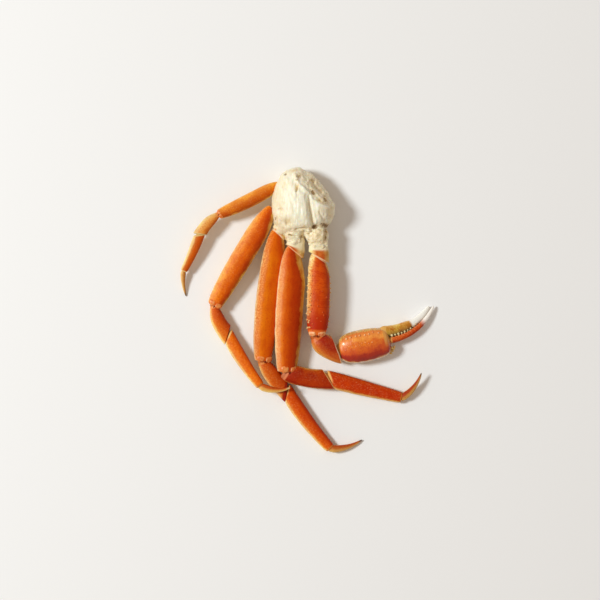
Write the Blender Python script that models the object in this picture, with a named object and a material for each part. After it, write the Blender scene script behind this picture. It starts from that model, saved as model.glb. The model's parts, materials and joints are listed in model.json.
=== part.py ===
"""Snow crab cluster: one side of a cooked snow crab, lying flat.

The pale shoulder holds the roots of the limbs. From it come four walking legs, numbered from the one
next to the claw, and the claw arm. Each limb is a chain of shells, and each shell ends in a socket
that the neck of the next one sits in. Sizes are in millimetres and angles in degrees.
"""

import math
import random
from collections import namedtuple

import bmesh
import bpy
from mathutils import Euler, Matrix, Vector

MM = 0.001
GAP = 0.3
SQUARENESS = 2.35
ORIGIN_NAME = "under_the_middle"
ORIGIN_SHIFT = (-0.4, 0.2)

# One shell of a limb. Its heading is 0 along +X and turns anticlockwise from above. A slant is how
# far an end is turned from square, and it is positive where the left-hand side reaches further.
Shell = namedtuple(
    "Shell",
    "name kind length heading end_height width depth bow start_slant end_slant roll color",
)
Limb = namedtuple("Limb", "name hip shells")

ORANGE = (0.76, 0.22, 0.035)
DEEP_ORANGE = (0.62, 0.12, 0.02)
GOLD = (0.66, 0.36, 0.12)
PALE_ORANGE = (0.82, 0.42, 0.13)
CREAM = (0.90, 0.85, 0.70)

LIMBS = (
    Limb("leg_1", (-11.5, 59.5, 15.0), (
        Shell("ischium", "ischium", 8.6, 264, 14.6, 13.0, 11.5, 0.0, 0, 26, -12, PALE_ORANGE),
        Shell("merus", "merus", 103.2, 267.5, 9.8, 23.6, 15.0, 0.4, 26, 0, -18, ORANGE),
        Shell("carpus", "carpus", 36.4, 350.5, 7.4, 14.6, 11.0, -0.9, 0, -36, 0, DEEP_ORANGE),
        Shell("propodus", "propodus", 62.8, 345.6, 4.4, 13.6, 9.6, 1.2, -36, 0, 0, DEEP_ORANGE),
        Shell("dactylus", "dactylus", 26.8, 53, 8.6, 6.2, 6.0, -2.4, 0, 0, 0, GOLD),
    )),
    Limb("leg_2", (-21.6, 71.5, 12.8), (
        Shell("ischium", "ischium", 9.4, 250, 12.2, 12.0, 10.5, 0.0, 0, 34, -12, PALE_ORANGE),
        Shell("merus", "merus", 106.4, 263.4, 7.8, 20.4, 14.5, -1.6, 34, 0, -16, ORANGE),
        Shell("carpus", "carpus", 32.8, 308.2, 4.8, 13.8, 9.6, -1.2, 0, -42, 0, DEEP_ORANGE),
        Shell("propodus", "propodus", 60.4, 307.6, 4.0, 13.0, 8.6, -1.6, -42, 0, 0, ORANGE),
        Shell("dactylus", "dactylus", 27.4, 16, 1.6, 6.2, 5.4, -2.2, 0, 0, 0, GOLD),
    )),
    Limb("leg_3", (-30.4, 82.6, 13.4), (
        Shell("merus", "merus", 92.4, 239, 8.0, 18.0, 13.5, -0.6, 20, 0, 0, ORANGE),
        Shell("carpus", "carpus", 27.8, 295.6, 6.4, 12.4, 9.6, -2.0, 0, -40, 0, DEEP_ORANGE),
        Shell("propodus", "propodus", 50.4, 303, 11.4, 11.6, 8.4, -1.2, -40, 0, 0, ORANGE),
        Shell("dactylus", "dactylus", 24.8, 357.5, 13.6, 5.0, 4.8, -2.2, 0, 0, 0, GOLD),
    )),
    Limb("leg_4", (-24.4, 104.2, 14.4), (
        Shell("merus", "merus", 55.2, 206.4, 12.2, 11.8, 9.6, 1.0, 0, 0, 0, ORANGE),
        Shell("carpus", "carpus", 23.2, 226.5, 10.6, 8.4, 7.4, -0.2, 0, -26, 0, PALE_ORANGE),
        Shell("propodus", "propodus", 33.8, 246, 6.6, 8.0, 6.4, 0.6, -26, 0, 0, ORANGE),
        Shell("dactylus", "dactylus", 21.8, 275.5, 0.7, 4.4, 4.0, -1.2, 0, 0, 0, GOLD),
    )),
    Limb("claw", (8.6, 56.6, 16.2), (
        Shell("ischium", "ischium", 10.4, 272, 16.0, 14.2, 12.5, 0.0, 0, 30, 0, PALE_ORANGE),
        Shell("merus", "arm", 67.8, 269.2, 14.0, 18.6, 16.0, 0.6, 30, 0, 0, ORANGE),
        Shell("carpus", "wrist", 21.4, 325.6, 9.8, 18.0, 14.0, -2.6, 0, -46, 0, DEEP_ORANGE),
        Shell("palm", "palm", 44.4, 10.6, 8.5, 27.2, 17.0, -0.4, 0, 0, 0, DEEP_ORANGE),
        Shell("dactylus", "finger", 47.4, 37.7, 3.2, 6.8, 6.6, -5.6, 0, 0, 0, DEEP_ORANGE),
    )),
)

# How many points a cross-section of each kind of shell has.
RING_POINTS = {
    "ischium": 12, "merus": 16, "carpus": 12, "propodus": 12, "dactylus": 10,
    "arm": 16, "wrist": 16, "palm": 18, "finger": 12,
}

# Down the length of each kind of shell: share of the length, of the width and of the depth.
PROFILES = {
    "ischium": (
        (-0.20, 0.62, 0.62), (-0.14, 0.78, 0.78), (0.0, 0.88, 0.88), (0.35, 0.95, 0.95),
        (0.70, 1.0, 1.0), (0.92, 0.98, 0.98), (1.0, 0.88, 0.88),
    ),
    "merus": (
        (-0.030, 0.26, 0.34), (-0.022, 0.38, 0.50), (0.01, 0.50, 0.62), (0.05, 0.64, 0.74),
        (0.12, 0.82, 0.86), (0.20, 0.94, 0.94), (0.32, 1.0, 1.0), (0.50, 1.0, 1.0),
        (0.68, 0.96, 0.97), (0.82, 0.89, 0.91), (0.91, 0.80, 0.84), (0.965, 0.72, 0.80),
        (0.99, 0.66, 0.76), (1.0, 0.56, 0.64),
    ),
    "carpus": (
        (-0.085, 0.30, 0.30), (-0.06, 0.46, 0.46), (0.03, 0.52, 0.54), (0.10, 0.60, 0.64),
        (0.20, 0.78, 0.80), (0.34, 0.92, 0.94), (0.52, 1.0, 1.0), (0.72, 1.0, 1.0),
        (0.88, 0.98, 0.98), (0.97, 0.95, 0.94), (1.0, 0.88, 0.86),
    ),
    "propodus": (
        (-0.035, 0.46, 0.46), (-0.028, 0.60, 0.60), (0.004, 0.62, 0.62), (0.012, 0.88, 0.88),
        (0.035, 0.97, 0.97), (0.10, 1.0, 1.0), (0.28, 0.98, 0.99), (0.50, 0.90, 0.93),
        (0.72, 0.80, 0.85), (0.88, 0.72, 0.78), (0.97, 0.68, 0.74), (1.0, 0.54, 0.60),
    ),
    "dactylus": (
        (-0.075, 0.34, 0.34), (-0.05, 0.62, 0.62), (0.02, 0.86, 0.86), (0.10, 1.0, 1.0),
        (0.24, 0.92, 0.94), (0.42, 0.76, 0.80), (0.60, 0.58, 0.63), (0.78, 0.40, 0.45),
        (0.90, 0.26, 0.30), (0.97, 0.16, 0.18), (1.0, 0.07, 0.08),
    ),
    "arm": (
        (-0.045, 0.30, 0.34), (-0.03, 0.46, 0.52), (0.01, 0.58, 0.64), (0.06, 0.74, 0.78),
        (0.14, 0.88, 0.90), (0.26, 0.96, 0.97), (0.45, 1.0, 1.0), (0.64, 1.0, 1.0),
        (0.80, 0.97, 0.97), (0.90, 0.88, 0.92), (0.965, 0.76, 0.84), (1.0, 0.62, 0.70),
    ),
    "wrist": (
        (-0.12, 0.34, 0.34), (-0.09, 0.52, 0.52), (0.02, 0.62, 0.62), (0.12, 0.78, 0.78),
        (0.28, 0.94, 0.94), (0.50, 1.0, 1.0), (0.74, 0.96, 1.0), (0.92, 0.88, 0.96),
        (1.0, 0.80, 0.88),
    ),
    "palm": (
        (-0.03, 0.30, 0.36), (-0.015, 0.42, 0.48), (0.055, 0.48, 0.54), (0.07, 0.66, 0.68),
        (0.11, 0.80, 0.82), (0.20, 0.93, 0.94), (0.36, 1.0, 1.0), (0.58, 1.0, 1.0),
        (0.78, 0.95, 0.94), (0.92, 0.88, 0.84), (0.99, 0.78, 0.72), (1.02, 0.62, 0.56),
    ),
    "finger": (
        (-0.055, 0.40, 0.40), (-0.04, 0.66, 0.66), (0.0, 0.88, 0.88), (0.08, 1.0, 1.0),
        (0.22, 0.96, 0.96), (0.40, 0.92, 0.92), (0.58, 0.86, 0.84), (0.74, 0.72, 0.68),
        (0.86, 0.55, 0.50), (0.95, 0.36, 0.32), (0.99, 0.20, 0.18), (1.0, 0.08, 0.08),
    ),
}

# Pairs of shells that lie across each other. The lower one, named first, has room for the upper one.
CROSSINGS = (
    ("leg_2_merus", "leg_1_merus"),
    ("leg_2_merus", "leg_1_ischium"),
    ("leg_2_carpus", "leg_1_carpus"),
    ("leg_2_carpus", "leg_1_merus"),
    ("leg_2_propodus", "leg_1_carpus"),
    ("leg_2_carpus", "leg_3_dactylus"),
)

# The shoulder: an egg seen from above, with its outline given every 20 degrees round its middle.
SHOULDER_MIDDLE = (-3.8, 88.2)
SHOULDER_RADII = (
    25.6, 23.0, 22.6, 23.8, 27.2, 31.4, 31.0, 28.0, 26.2,
    25.6, 26.6, 28.8, 29.2, 28.0, 28.0, 28.6, 28.0, 28.0,
)
SHOULDER_HEIGHT = 31.0
SHOULDER_WIDEST_AT = 13.0
SHOULDER_FOOT = 0.62
SHOULDER_SPOKES = 48
SHOULDER_ROUNDNESS = 2.5

# Lobes (positive) and grooves (negative) on top of it: x, y, long and short reach, turn, height.
Lobe = namedtuple("Lobe", "x y long short turn height")
SHOULDER_RELIEF = (
    Lobe(-10.0, 89.0, 22.0, 9.0, 95, 3.0),
    Lobe(3.4, 82.8, 12.5, 2.8, 99, -4.6),
    Lobe(12.6, 82.3, 9.0, 7.0, 120, 1.6),
    Lobe(8.2, 103.0, 15.0, 4.8, 133, -3.2),
    Lobe(-1.0, 64.0, 14.0, 4.0, 4, -3.4),
    Lobe(-21.8, 83.7, 2.6, 2.4, 0, -1.6),
    Lobe(-16.5, 72.4, 3.4, 3.0, 0, -1.8),
    Lobe(-8.5, 103.0, 3.4, 1.6, 80, -1.4),
    Lobe(6.5, 69.4, 2.6, 2.4, 0, -3.0),
    Lobe(14.6, 70.6, 3.6, 3.0, 0, -2.2),
)

# The stubby roots that the limbs grow from: centre, half sizes and turn about the upright axis.
Root = namedtuple("Root", "x y z half_length half_width half_height turn")
SHOULDER_ROOTS = (
    Root(-12.0, 64.5, 15.0, 10.5, 7.6, 8.4, 262),
    Root(9.0, 61.5, 16.2, 10.0, 9.0, 9.2, 270),
    Root(-21.0, 75.0, 13.0, 7.5, 7.0, 7.8, 240),
)

# The claw's fixed finger, worked out from the end of the palm.
FIXED_FINGER_START = (-4.0, 7.6)
FIXED_FINGER_LENGTH = 45.0
FIXED_FINGER_TURN = 18.8
FIXED_FINGER_WIDTH = 10.4
FIXED_FINGER_DEPTH = 8.6
FIXED_FINGER_BOW = -5.6
FIXED_FINGER_DROP = 4.6

# Rows of teeth: angle round the finger, first and last share of its length, count, largest half size.
FIXED_FINGER_TEETH = (198, 0.20, 0.64, 6, 1.2)
MOVABLE_FINGER_TEETH = (10, 0.22, 0.66, 6, 1.1)


def shell_material(name, color, roughness):
    """Cooked shell or meat in one plain colour."""
    material = bpy.data.materials.new(name)
    material.use_nodes = True
    surface = material.node_tree.nodes["Principled BSDF"]
    surface.inputs["Base Color"].default_value = (*color, 1.0)
    surface.inputs["Roughness"].default_value = roughness
    surface.inputs["Metallic"].default_value = 0.0
    return material


def collection(name):
    made = bpy.data.collections.new(name)
    bpy.context.scene.collection.children.link(made)
    return made


def add_object(name, mesh, group, matrix=None):
    """An object placed on the cluster's own origin, which lies under the middle of it."""
    made = bpy.data.objects.new(name, mesh)
    group.objects.link(made)
    made.parent = bpy.data.objects[ORIGIN_NAME]
    if matrix is not None:
        made.matrix_basis = matrix
    return made


def mesh_from_rings(name, rings):
    """A closed skin over rings of points that all have the same count, with a point in each end."""
    shape = bmesh.new()
    loops = [[shape.verts.new(Vector(point) * MM) for point in ring] for ring in rings]
    for near, far in zip(loops, loops[1:]):
        for index, corner in enumerate(near):
            following = (index + 1) % len(near)
            shape.faces.new((corner, near[following], far[following], far[index]))
    ends = [shape.faces.new(loops[0][::-1]), shape.faces.new(loops[-1])]
    bmesh.ops.poke(shape, faces=ends)
    bmesh.ops.recalc_face_normals(shape, faces=shape.faces)
    mesh = bpy.data.meshes.new(name)
    shape.to_mesh(mesh)
    shape.free()
    mesh.shade_smooth()
    return mesh


def rounded(angle, half_width, half_depth):
    """A point of a rounded, slightly boxy cross-section."""
    across = math.cos(angle)
    up = math.sin(angle)
    power = 2.0 / SQUARENESS
    return (
        half_width * math.copysign(abs(across) ** power, across),
        half_depth * math.copysign(abs(up) ** power, up),
    )


def slant_at(share, shell):
    """Tangent of the slant of the ring at this share of the length, fading from each slanted end."""
    start = math.tan(math.radians(shell.start_slant)) * max(0.0, 1.0 - max(share, 0.0) / 0.4)
    end = math.tan(math.radians(shell.end_slant)) * max(0.0, (share - 0.5) / 0.5)
    return start + end


def shell_rings(shell, grow):
    """Rings of a shell that runs along local +X from its joint, each half size larger by grow."""
    stations = PROFILES[shell.kind]
    points = RING_POINTS[shell.kind]
    rings = []
    for number, (share, width_share, depth_share) in enumerate(stations):
        along = share * shell.length
        if number == 0:
            along -= grow
        if number == len(stations) - 1:
            along += grow
        inside = min(max(share, 0.0), 1.0)
        sideways = shell.bow * 4.0 * inside * (1.0 - inside)
        turn = math.atan2(4.0 * shell.bow * (1.0 - 2.0 * inside), shell.length)
        slant = slant_at(share, shell)
        half_width = shell.width * width_share / 2 + grow
        half_depth = shell.depth * depth_share / 2 + grow
        ring = []
        for step in range(points):
            across, up = rounded(math.tau * step / points, half_width, half_depth)
            ring.append((
                along - across * math.sin(turn) + across * slant,
                sideways + across * math.cos(turn),
                up,
            ))
        rings.append(ring)
    return rings


def placed(start, shell):
    """The matrix that lays a shell from its start, and the point where it ends."""
    rise = shell.end_height - start[2]
    run = math.sqrt(shell.length**2 - rise**2)
    heading = math.radians(shell.heading)
    turned = Euler((math.radians(shell.roll), -math.asin(rise / shell.length), heading))
    end = (
        start[0] + run * math.cos(heading),
        start[1] + run * math.sin(heading),
        shell.end_height,
    )
    return Matrix.LocRotScale(Vector(start) * MM, turned, None), end


def icosphere(name, group, middle, half_sizes, matrix, detail=1):
    """A small faceted ball or egg, which is fused to a shell later."""
    shape = bmesh.new()
    bmesh.ops.create_icosphere(shape, subdivisions=detail, radius=1.0)
    bmesh.ops.transform(shape, matrix=Matrix.Diagonal(Vector(half_sizes) * MM).to_4x4(), verts=shape.verts)
    mesh = bpy.data.meshes.new(name)
    shape.to_mesh(mesh)
    shape.free()
    return add_object(name, mesh, group, matrix @ Matrix.Translation(Vector(middle) * MM))


def spine(name, group, foot, direction, height, radius, matrix):
    """A short cone that stands on the shell with its foot sunk in it."""
    shape = bmesh.new()
    bmesh.ops.create_cone(
        shape, cap_ends=True, segments=5, radius1=radius * MM, radius2=0.25 * radius * MM, depth=height * MM
    )
    mesh = bpy.data.meshes.new(name)
    shape.to_mesh(mesh)
    shape.free()
    upright = Vector(direction).to_track_quat("Z", "Y").to_matrix().to_4x4()
    return add_object(name, mesh, group, matrix @ Matrix.Translation(Vector(foot) * MM) @ upright)


def fuse(target, group):
    """Joins every object of a collection to the target and removes them."""
    union = target.modifiers.new("Fused", "BOOLEAN")
    union.operation = "UNION"
    union.operand_type = "COLLECTION"
    union.collection = group
    bpy.context.view_layer.update()
    bpy.context.view_layer.objects.active = target
    bpy.ops.object.modifier_apply(modifier=union.name)
    for extra in list(group.objects):
        bpy.data.objects.remove(extra)
    bpy.data.collections.remove(group)
    target.data.shade_smooth()


def cut(target, cutter):
    """Takes the cutter's shape out of the target and leaves the modifier live."""
    difference = target.modifiers.new("Room for " + cutter.name, "BOOLEAN")
    difference.operation = "DIFFERENCE"
    difference.object = cutter


def surface_point(shell, share, turn_degrees):
    """A point on a shell's skin at a share of its length and an angle round it, 90 being the top."""
    stations = PROFILES[shell.kind]
    before, after = stations[0], stations[-1]
    for near, far in zip(stations, stations[1:]):
        if near[0] <= share <= far[0]:
            before, after = near, far
    blend = (share - before[0]) / (after[0] - before[0])
    half_width = shell.width * (before[1] + (after[1] - before[1]) * blend) / 2
    half_depth = shell.depth * (before[2] + (after[2] - before[2]) * blend) / 2
    across, up = rounded(math.radians(turn_degrees), half_width, half_depth)
    sideways = shell.bow * 4.0 * share * (1.0 - share)
    return (share * shell.length + across * slant_at(share, shell), sideways + across, up)


def add_condyles(shell, group, matrix):
    """The two knobs over the joint at the far end of a merus, which the next shell hinges on."""
    size = 0.085 * shell.width
    for turn in (48, 132):
        along, across, up = surface_point(shell, 0.975, turn)
        icosphere("condyle", group, (along, across, up - 0.25 * size), (1.5 * size, size, size), matrix)


def add_arm_spines(shell, group, matrix):
    """Rows of blunt spines along both edges of the claw arm and a few bumps on its face."""
    chance = random.Random(7)
    for turn, count, height in ((168, 9, 2.2), (12, 9, 2.4), (150, 6, 1.6)):
        for number in range(count):
            share = 0.16 + 0.78 * (number + 0.5) / count
            angle = turn + chance.uniform(-5, 5)
            foot = surface_point(shell, share, angle)
            outward = (0.25, math.cos(math.radians(angle)), math.sin(math.radians(angle)))
            spine("spine", group, foot, outward, height, 0.42 * height, matrix)
    for number in range(6):
        share = 0.50 + 0.44 * (number + 0.5) / 6
        foot = surface_point(shell, share, chance.uniform(55, 130))
        icosphere("bump", group, foot, (0.9, 0.9, 0.7), matrix)


def add_palm_bumps(shell, group, matrix):
    """The palm's rows of tubercles: one along its upper margin, two on its face and one below."""
    for turn, first, last, count, size in (
        (18, 0.18, 0.90, 6, 0.85), (52, 0.22, 0.80, 7, 1.0), (72, 0.40, 0.66, 3, 0.8),
    ):
        for number in range(count):
            share = first + (last - first) * number / (count - 1)
            foot = surface_point(shell, share, turn)
            icosphere("tubercle", group, foot, (1.1 * size, size, size), matrix)


def add_teeth(shell, group, matrix, turn, first, last, count, size, grow=0.0):
    """Rounded teeth along the biting edge of a finger, each larger by grow."""
    for number in range(count):
        share = first + (last - first) * number / (count - 1)
        along, across, up = surface_point(shell, share, turn)
        tooth = size * (1.0 - 0.45 * number / count) + grow
        icosphere("tooth", group, (along, across, up), (1.1 * tooth, tooth, tooth), matrix)


def fixed_finger(palm):
    """The finger that is one piece with the palm, as a shell of its own and its local matrix."""
    finger = Shell(
        "fixed_finger", "finger", FIXED_FINGER_LENGTH, FIXED_FINGER_TURN, 0.0, FIXED_FINGER_WIDTH,
        FIXED_FINGER_DEPTH, FIXED_FINGER_BOW, 0, 0, 0, palm.color,
    )
    down = math.asin(FIXED_FINGER_DROP / FIXED_FINGER_LENGTH)
    turned = Euler((0.0, down, math.radians(FIXED_FINGER_TURN)))
    along, across = FIXED_FINGER_START
    return finger, Matrix.LocRotScale(Vector((palm.length + along, across, 0.0)) * MM, turned, None)


def add_extras(limb, shell, made, matrix):
    """Fuses to a shell the knobs, spines and teeth that belong to it."""
    group = collection("fused_to_" + made.name)
    if shell.kind in ("merus", "arm"):
        add_condyles(shell, group, matrix)
    if shell.kind == "arm":
        add_arm_spines(shell, group, matrix)
    if shell.kind == "palm":
        add_palm_bumps(shell, group, matrix)
        finger, place = fixed_finger(shell)
        finger_mesh = mesh_from_rings("fixed_finger", shell_rings(finger, 0.0))
        add_object("fixed_finger", finger_mesh, group, matrix @ place)
        add_teeth(finger, group, matrix @ place, *FIXED_FINGER_TEETH)
    if shell.kind == "finger":
        add_teeth(shell, group, matrix, *MOVABLE_FINGER_TEETH)
    if group.objects:
        fuse(made, group)
    else:
        bpy.data.collections.remove(group)


def shoulder_radius(angle):
    """The outline's radius, eased between the two nearest of its named values."""
    place = (angle % math.tau) / math.tau * len(SHOULDER_RADII)
    index = int(place)
    ease = (1.0 - math.cos(math.pi * (place - index))) / 2
    near = SHOULDER_RADII[index % len(SHOULDER_RADII)]
    return near + (SHOULDER_RADII[(index + 1) % len(SHOULDER_RADII)] - near) * ease


def relief(x, y):
    """How far the shoulder's lobes and grooves lift or lower its top at a place."""
    total = 0.0
    for lobe in SHOULDER_RELIEF:
        turn = math.radians(lobe.turn)
        east = x - lobe.x
        north = y - lobe.y
        along = (east * math.cos(turn) + north * math.sin(turn)) / lobe.long
        across = (north * math.cos(turn) - east * math.sin(turn)) / lobe.short
        total += lobe.height * math.exp(-(along**2) - across**2)
    return total


def shoulder_rings():
    """Rings from the flat foot up to the crown."""
    levels = [(SHOULDER_FOOT, 0.0), (0.76, 0.7), (0.88, 2.6), (0.96, 6.0)]
    rise = SHOULDER_HEIGHT - SHOULDER_WIDEST_AT
    for degrees in (0, 15, 29, 42, 53, 62, 70, 77, 83, 87):
        lift = math.radians(degrees)
        share = math.cos(lift) ** (2.0 / SHOULDER_ROUNDNESS)
        levels.append((share, SHOULDER_WIDEST_AT + rise * math.sin(lift) ** (2.0 / SHOULDER_ROUNDNESS)))
    rings = []
    for share, height in levels:
        ring = []
        for spoke in range(SHOULDER_SPOKES):
            angle = math.tau * spoke / SHOULDER_SPOKES
            radius = shoulder_radius(angle) * share
            x = SHOULDER_MIDDLE[0] + radius * math.cos(angle)
            y = SHOULDER_MIDDLE[1] + radius * math.sin(angle)
            above = max(0.0, (height - SHOULDER_WIDEST_AT) / rise)
            ring.append((x, y, height + relief(x, y) * min(1.0, 2.0 * above)))
        rings.append(ring)
    return rings


def build_shoulder(group):
    shoulder = add_object("shoulder", mesh_from_rings("shoulder", shoulder_rings()), group)
    shoulder.data.materials.append(shell_material("shoulder_meat", CREAM, 0.45))
    roots = collection("shoulder_roots")
    for root in SHOULDER_ROOTS:
        turned = Matrix.LocRotScale(
            Vector((root.x, root.y, root.z)) * MM, Euler((0.0, 0.0, math.radians(root.turn))), None
        )
        half_sizes = (root.half_length, root.half_width, root.half_height)
        icosphere("root", roots, (0.0, 0.0, 0.0), half_sizes, turned, 2)
    fuse(shoulder, roots)
    return shoulder


def build_limb(limb, group, cutters):
    """The limb's shells as solids, and beside each one its larger copy that cuts room for it."""
    start = limb.hip
    solids = []
    for shell in limb.shells:
        name = limb.name + "_" + shell.name
        matrix, end = placed(start, shell)
        made = add_object(name, mesh_from_rings(name, shell_rings(shell, 0.0)), group, matrix)
        made.data.materials.append(shell_material(name + "_shell", shell.color, 0.4))
        add_extras(limb, shell, made, matrix)
        room_mesh = mesh_from_rings(name + "_room", shell_rings(shell, GAP))
        room = add_object(name + "_room", room_mesh, cutters, matrix)
        if shell.kind == "finger":
            teeth = collection("room_for_teeth")
            add_teeth(shell, teeth, matrix, *MOVABLE_FINGER_TEETH, GAP)
            fuse(room, teeth)
        room.hide_render = True
        room.display_type = "WIRE"
        solids.append(made)
        start = end
    return solids


def main():
    for old in list(bpy.data.objects):
        bpy.data.objects.remove(old)
    group = collection("snow_crab_cluster")
    cutters = collection("cutters")
    origin = bpy.data.objects.new(ORIGIN_NAME, None)
    origin.location = (ORIGIN_SHIFT[0] * MM, ORIGIN_SHIFT[1] * MM, 0.0)
    group.objects.link(origin)
    shoulder = build_shoulder(group)
    for limb in LIMBS:
        solids = build_limb(limb, group, cutters)
        for inner, outer in zip(solids, solids[1:]):
            cut(inner, bpy.data.objects[outer.name + "_room"])
        cut(shoulder, bpy.data.objects[solids[0].name + "_room"])
    for lower, upper in CROSSINGS:
        cut(bpy.data.objects[lower], bpy.data.objects[upper + "_room"])


main()
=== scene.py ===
"""Looks of the snow crab cluster, laid over its solids. Lengths are in millimetres until a mesh is made."""

import json
import math
import random
from collections import namedtuple

import bmesh
import bpy
import numpy as np
from mathutils import Euler, Matrix, Vector, noise

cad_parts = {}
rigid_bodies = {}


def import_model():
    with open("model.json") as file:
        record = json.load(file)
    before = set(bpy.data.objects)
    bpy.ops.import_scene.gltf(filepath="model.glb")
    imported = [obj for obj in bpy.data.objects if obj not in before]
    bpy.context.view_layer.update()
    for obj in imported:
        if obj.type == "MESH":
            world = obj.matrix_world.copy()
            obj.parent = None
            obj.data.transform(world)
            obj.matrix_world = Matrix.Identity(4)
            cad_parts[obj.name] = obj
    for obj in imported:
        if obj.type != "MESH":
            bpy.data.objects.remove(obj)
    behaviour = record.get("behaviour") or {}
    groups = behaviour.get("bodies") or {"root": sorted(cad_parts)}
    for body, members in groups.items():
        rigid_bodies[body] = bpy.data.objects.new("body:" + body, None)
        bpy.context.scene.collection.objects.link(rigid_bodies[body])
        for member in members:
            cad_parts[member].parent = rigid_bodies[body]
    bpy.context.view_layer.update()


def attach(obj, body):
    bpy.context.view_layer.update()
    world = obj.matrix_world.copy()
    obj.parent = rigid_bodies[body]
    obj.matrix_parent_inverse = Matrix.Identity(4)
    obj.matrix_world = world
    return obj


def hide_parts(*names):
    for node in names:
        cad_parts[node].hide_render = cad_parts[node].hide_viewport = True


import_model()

# ---------------------------------------------------------------------------------------------
# Shoulder. One side of the crab's body, pulled from its shell: pale meat in its thin membranes,
# with the stubby roots of the limbs below it. A closed skin is raised over listed lobes, fused
# with the roots, and its folds, pits and stains are then worked in.

MM = 0.001
SHOULDER_MIDDLE = (-4.2, 88.4)
SHOULDER_RADII = (
    25.6, 23.0, 22.6, 23.8, 27.2, 31.4, 31.0, 28.0, 26.2,
    25.6, 26.6, 28.8, 29.2, 28.0, 28.0, 28.6, 28.0, 28.0,
)
CROWN_HEIGHT = 31.0
WIDEST_AT = 13.0
SPOKES = 96
VOXEL = 0.45

# The rings from the foot up to the widest place: share of the radius and height.
FOOT_RINGS = (
    (0.62, 0.0), (0.70, 0.2), (0.76, 0.7), (0.82, 1.5), (0.88, 2.6), (0.92, 4.0), (0.96, 6.0), (0.985, 9.0),
)

# East, north, long and short reach, turn in degrees and lift of each lobe or hollow on top.
LOBES = (
    (-10.4, 89.2, 22.0, 9.0, 95, 2.2), (-2.0, 83.0, 15.0, 4.6, 97, 1.9), (3.0, 82.6, 12.5, 2.6, 99, -2.7),
    (12.2, 82.5, 9.0, 7.0, 120, 1.6), (7.8, 103.2, 15.0, 4.8, 133, -2.6),
    (-1.4, 64.2, 14.0, 4.0, 4, -3.4), (-22.2, 83.9, 2.6, 2.4, 0, -1.6),
    (-16.9, 72.6, 3.4, 3.0, 0, -1.8), (-8.9, 103.2, 3.4, 1.6, 80, -1.4),
    (6.1, 69.6, 2.6, 2.4, 0, -3.0), (14.2, 70.8, 3.6, 3.0, 0, -2.2),
)

# East, north, height, three half sizes and turn of each root and of the lumps round them.
ROOTS = (
    (-11.2, 64.7, 15.0, 10.5, 7.9, 8.4, 264), (8.6, 61.7, 16.2, 10.0, 9.0, 9.2, 270),
    (-21.4, 75.2, 13.0, 7.5, 7.0, 7.8, 240), (-21.0, 69.8, 13.4, 8.4, 6.6, 7.2, 246),
    (-14.6, 63.4, 20.6, 3.4, 2.6, 2.6, 250), (-9.6, 62.2, 20.2, 3.0, 2.4, 2.6, 280),
    (-12.2, 59.8, 19.2, 3.6, 2.8, 2.8, 265), (0.8, 61.6, 20.0, 3.6, 2.6, 3.4, 300),
    (4.6, 58.6, 21.4, 3.2, 2.8, 3.2, 280), (8.4, 64.2, 21.6, 5.2, 3.2, 3.2, 10),
    (12.6, 60.0, 21.0, 5.4, 2.6, 3.2, 75), (-4.4, 67.0, 22.4, 3.0, 1.8, 2.4, 10),
    (2.2, 60.0, 15.6, 7.0, 3.4, 6.4, 298), (1.2, 66.2, 22.6, 2.6, 1.7, 2.6, 350),
    (19.2, 84.4, 18.6, 5.6, 3.4, 4.2, 75), (-10.8, 56.6, 18.8, 3.6, 3.4, 3.0, 264),
    (-7.4, 58.2, 18.2, 3.0, 2.4, 2.8, 280), (-14.2, 58.0, 17.8, 3.0, 2.4, 2.8, 250),
    (6.0, 53.8, 20.0, 3.4, 2.6, 2.9, 275), (11.8, 53.4, 19.8, 3.2, 3.0, 2.9, 265),
    (9.0, 55.6, 20.8, 4.0, 3.0, 2.8, 270), (15.0, 54.6, 18.2, 3.4, 2.2, 3.2, 268),
    (2.8, 56.0, 18.0, 3.2, 2.2, 3.0, 285),
)

# Folds and slits: the points they run through, their width and how far they lift.
FOLDS = (
    (((-10.6, 112.0), (-7.4, 104.0), (0.8, 96.4), (4.4, 90.8), (9.0, 87.6), (15.6, 84.8)), 1.3, 1.5),
    (((1.0, 94.4), (1.8, 84.0), (3.6, 74.0), (5.2, 69.0)), 1.0, -0.9),
    (((3.2, 92.0), (4.6, 82.0), (7.0, 72.6)), 1.0, 0.7),
    (((-7.6, 103.4), (-9.4, 98.2)), 0.7, -1.5),
    (((-9.4, 66.9), (-2.0, 67.6), (3.4, 67.2)), 0.8, -1.5),
    (((-16.2, 62.8), (-12.0, 61.4), (-8.6, 60.8)), 0.8, -1.2),
    (((-24.6, 78.6), (-20.0, 74.2), (-16.8, 68.2)), 1.2, 0.9),
    (((-24.0, 84.8), (-20.6, 86.0), (-19.4, 82.4)), 0.8, 0.5),
    (((3.0, 100.6), (8.0, 95.0), (12.4, 90.6)), 1.1, 0.9),
    (((5.6, 104.0), (11.4, 98.4)), 1.3, -1.0),
    (((14.4, 66.8), (14.6, 58.4)), 0.9, -1.4),
    (((-3.4, 64.4), (-4.0, 56.0)), 1.4, -1.6),
    (((10.0, 80.6), (13.6, 74.0), (18.4, 76.4)), 1.0, -0.8),
)

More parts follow.
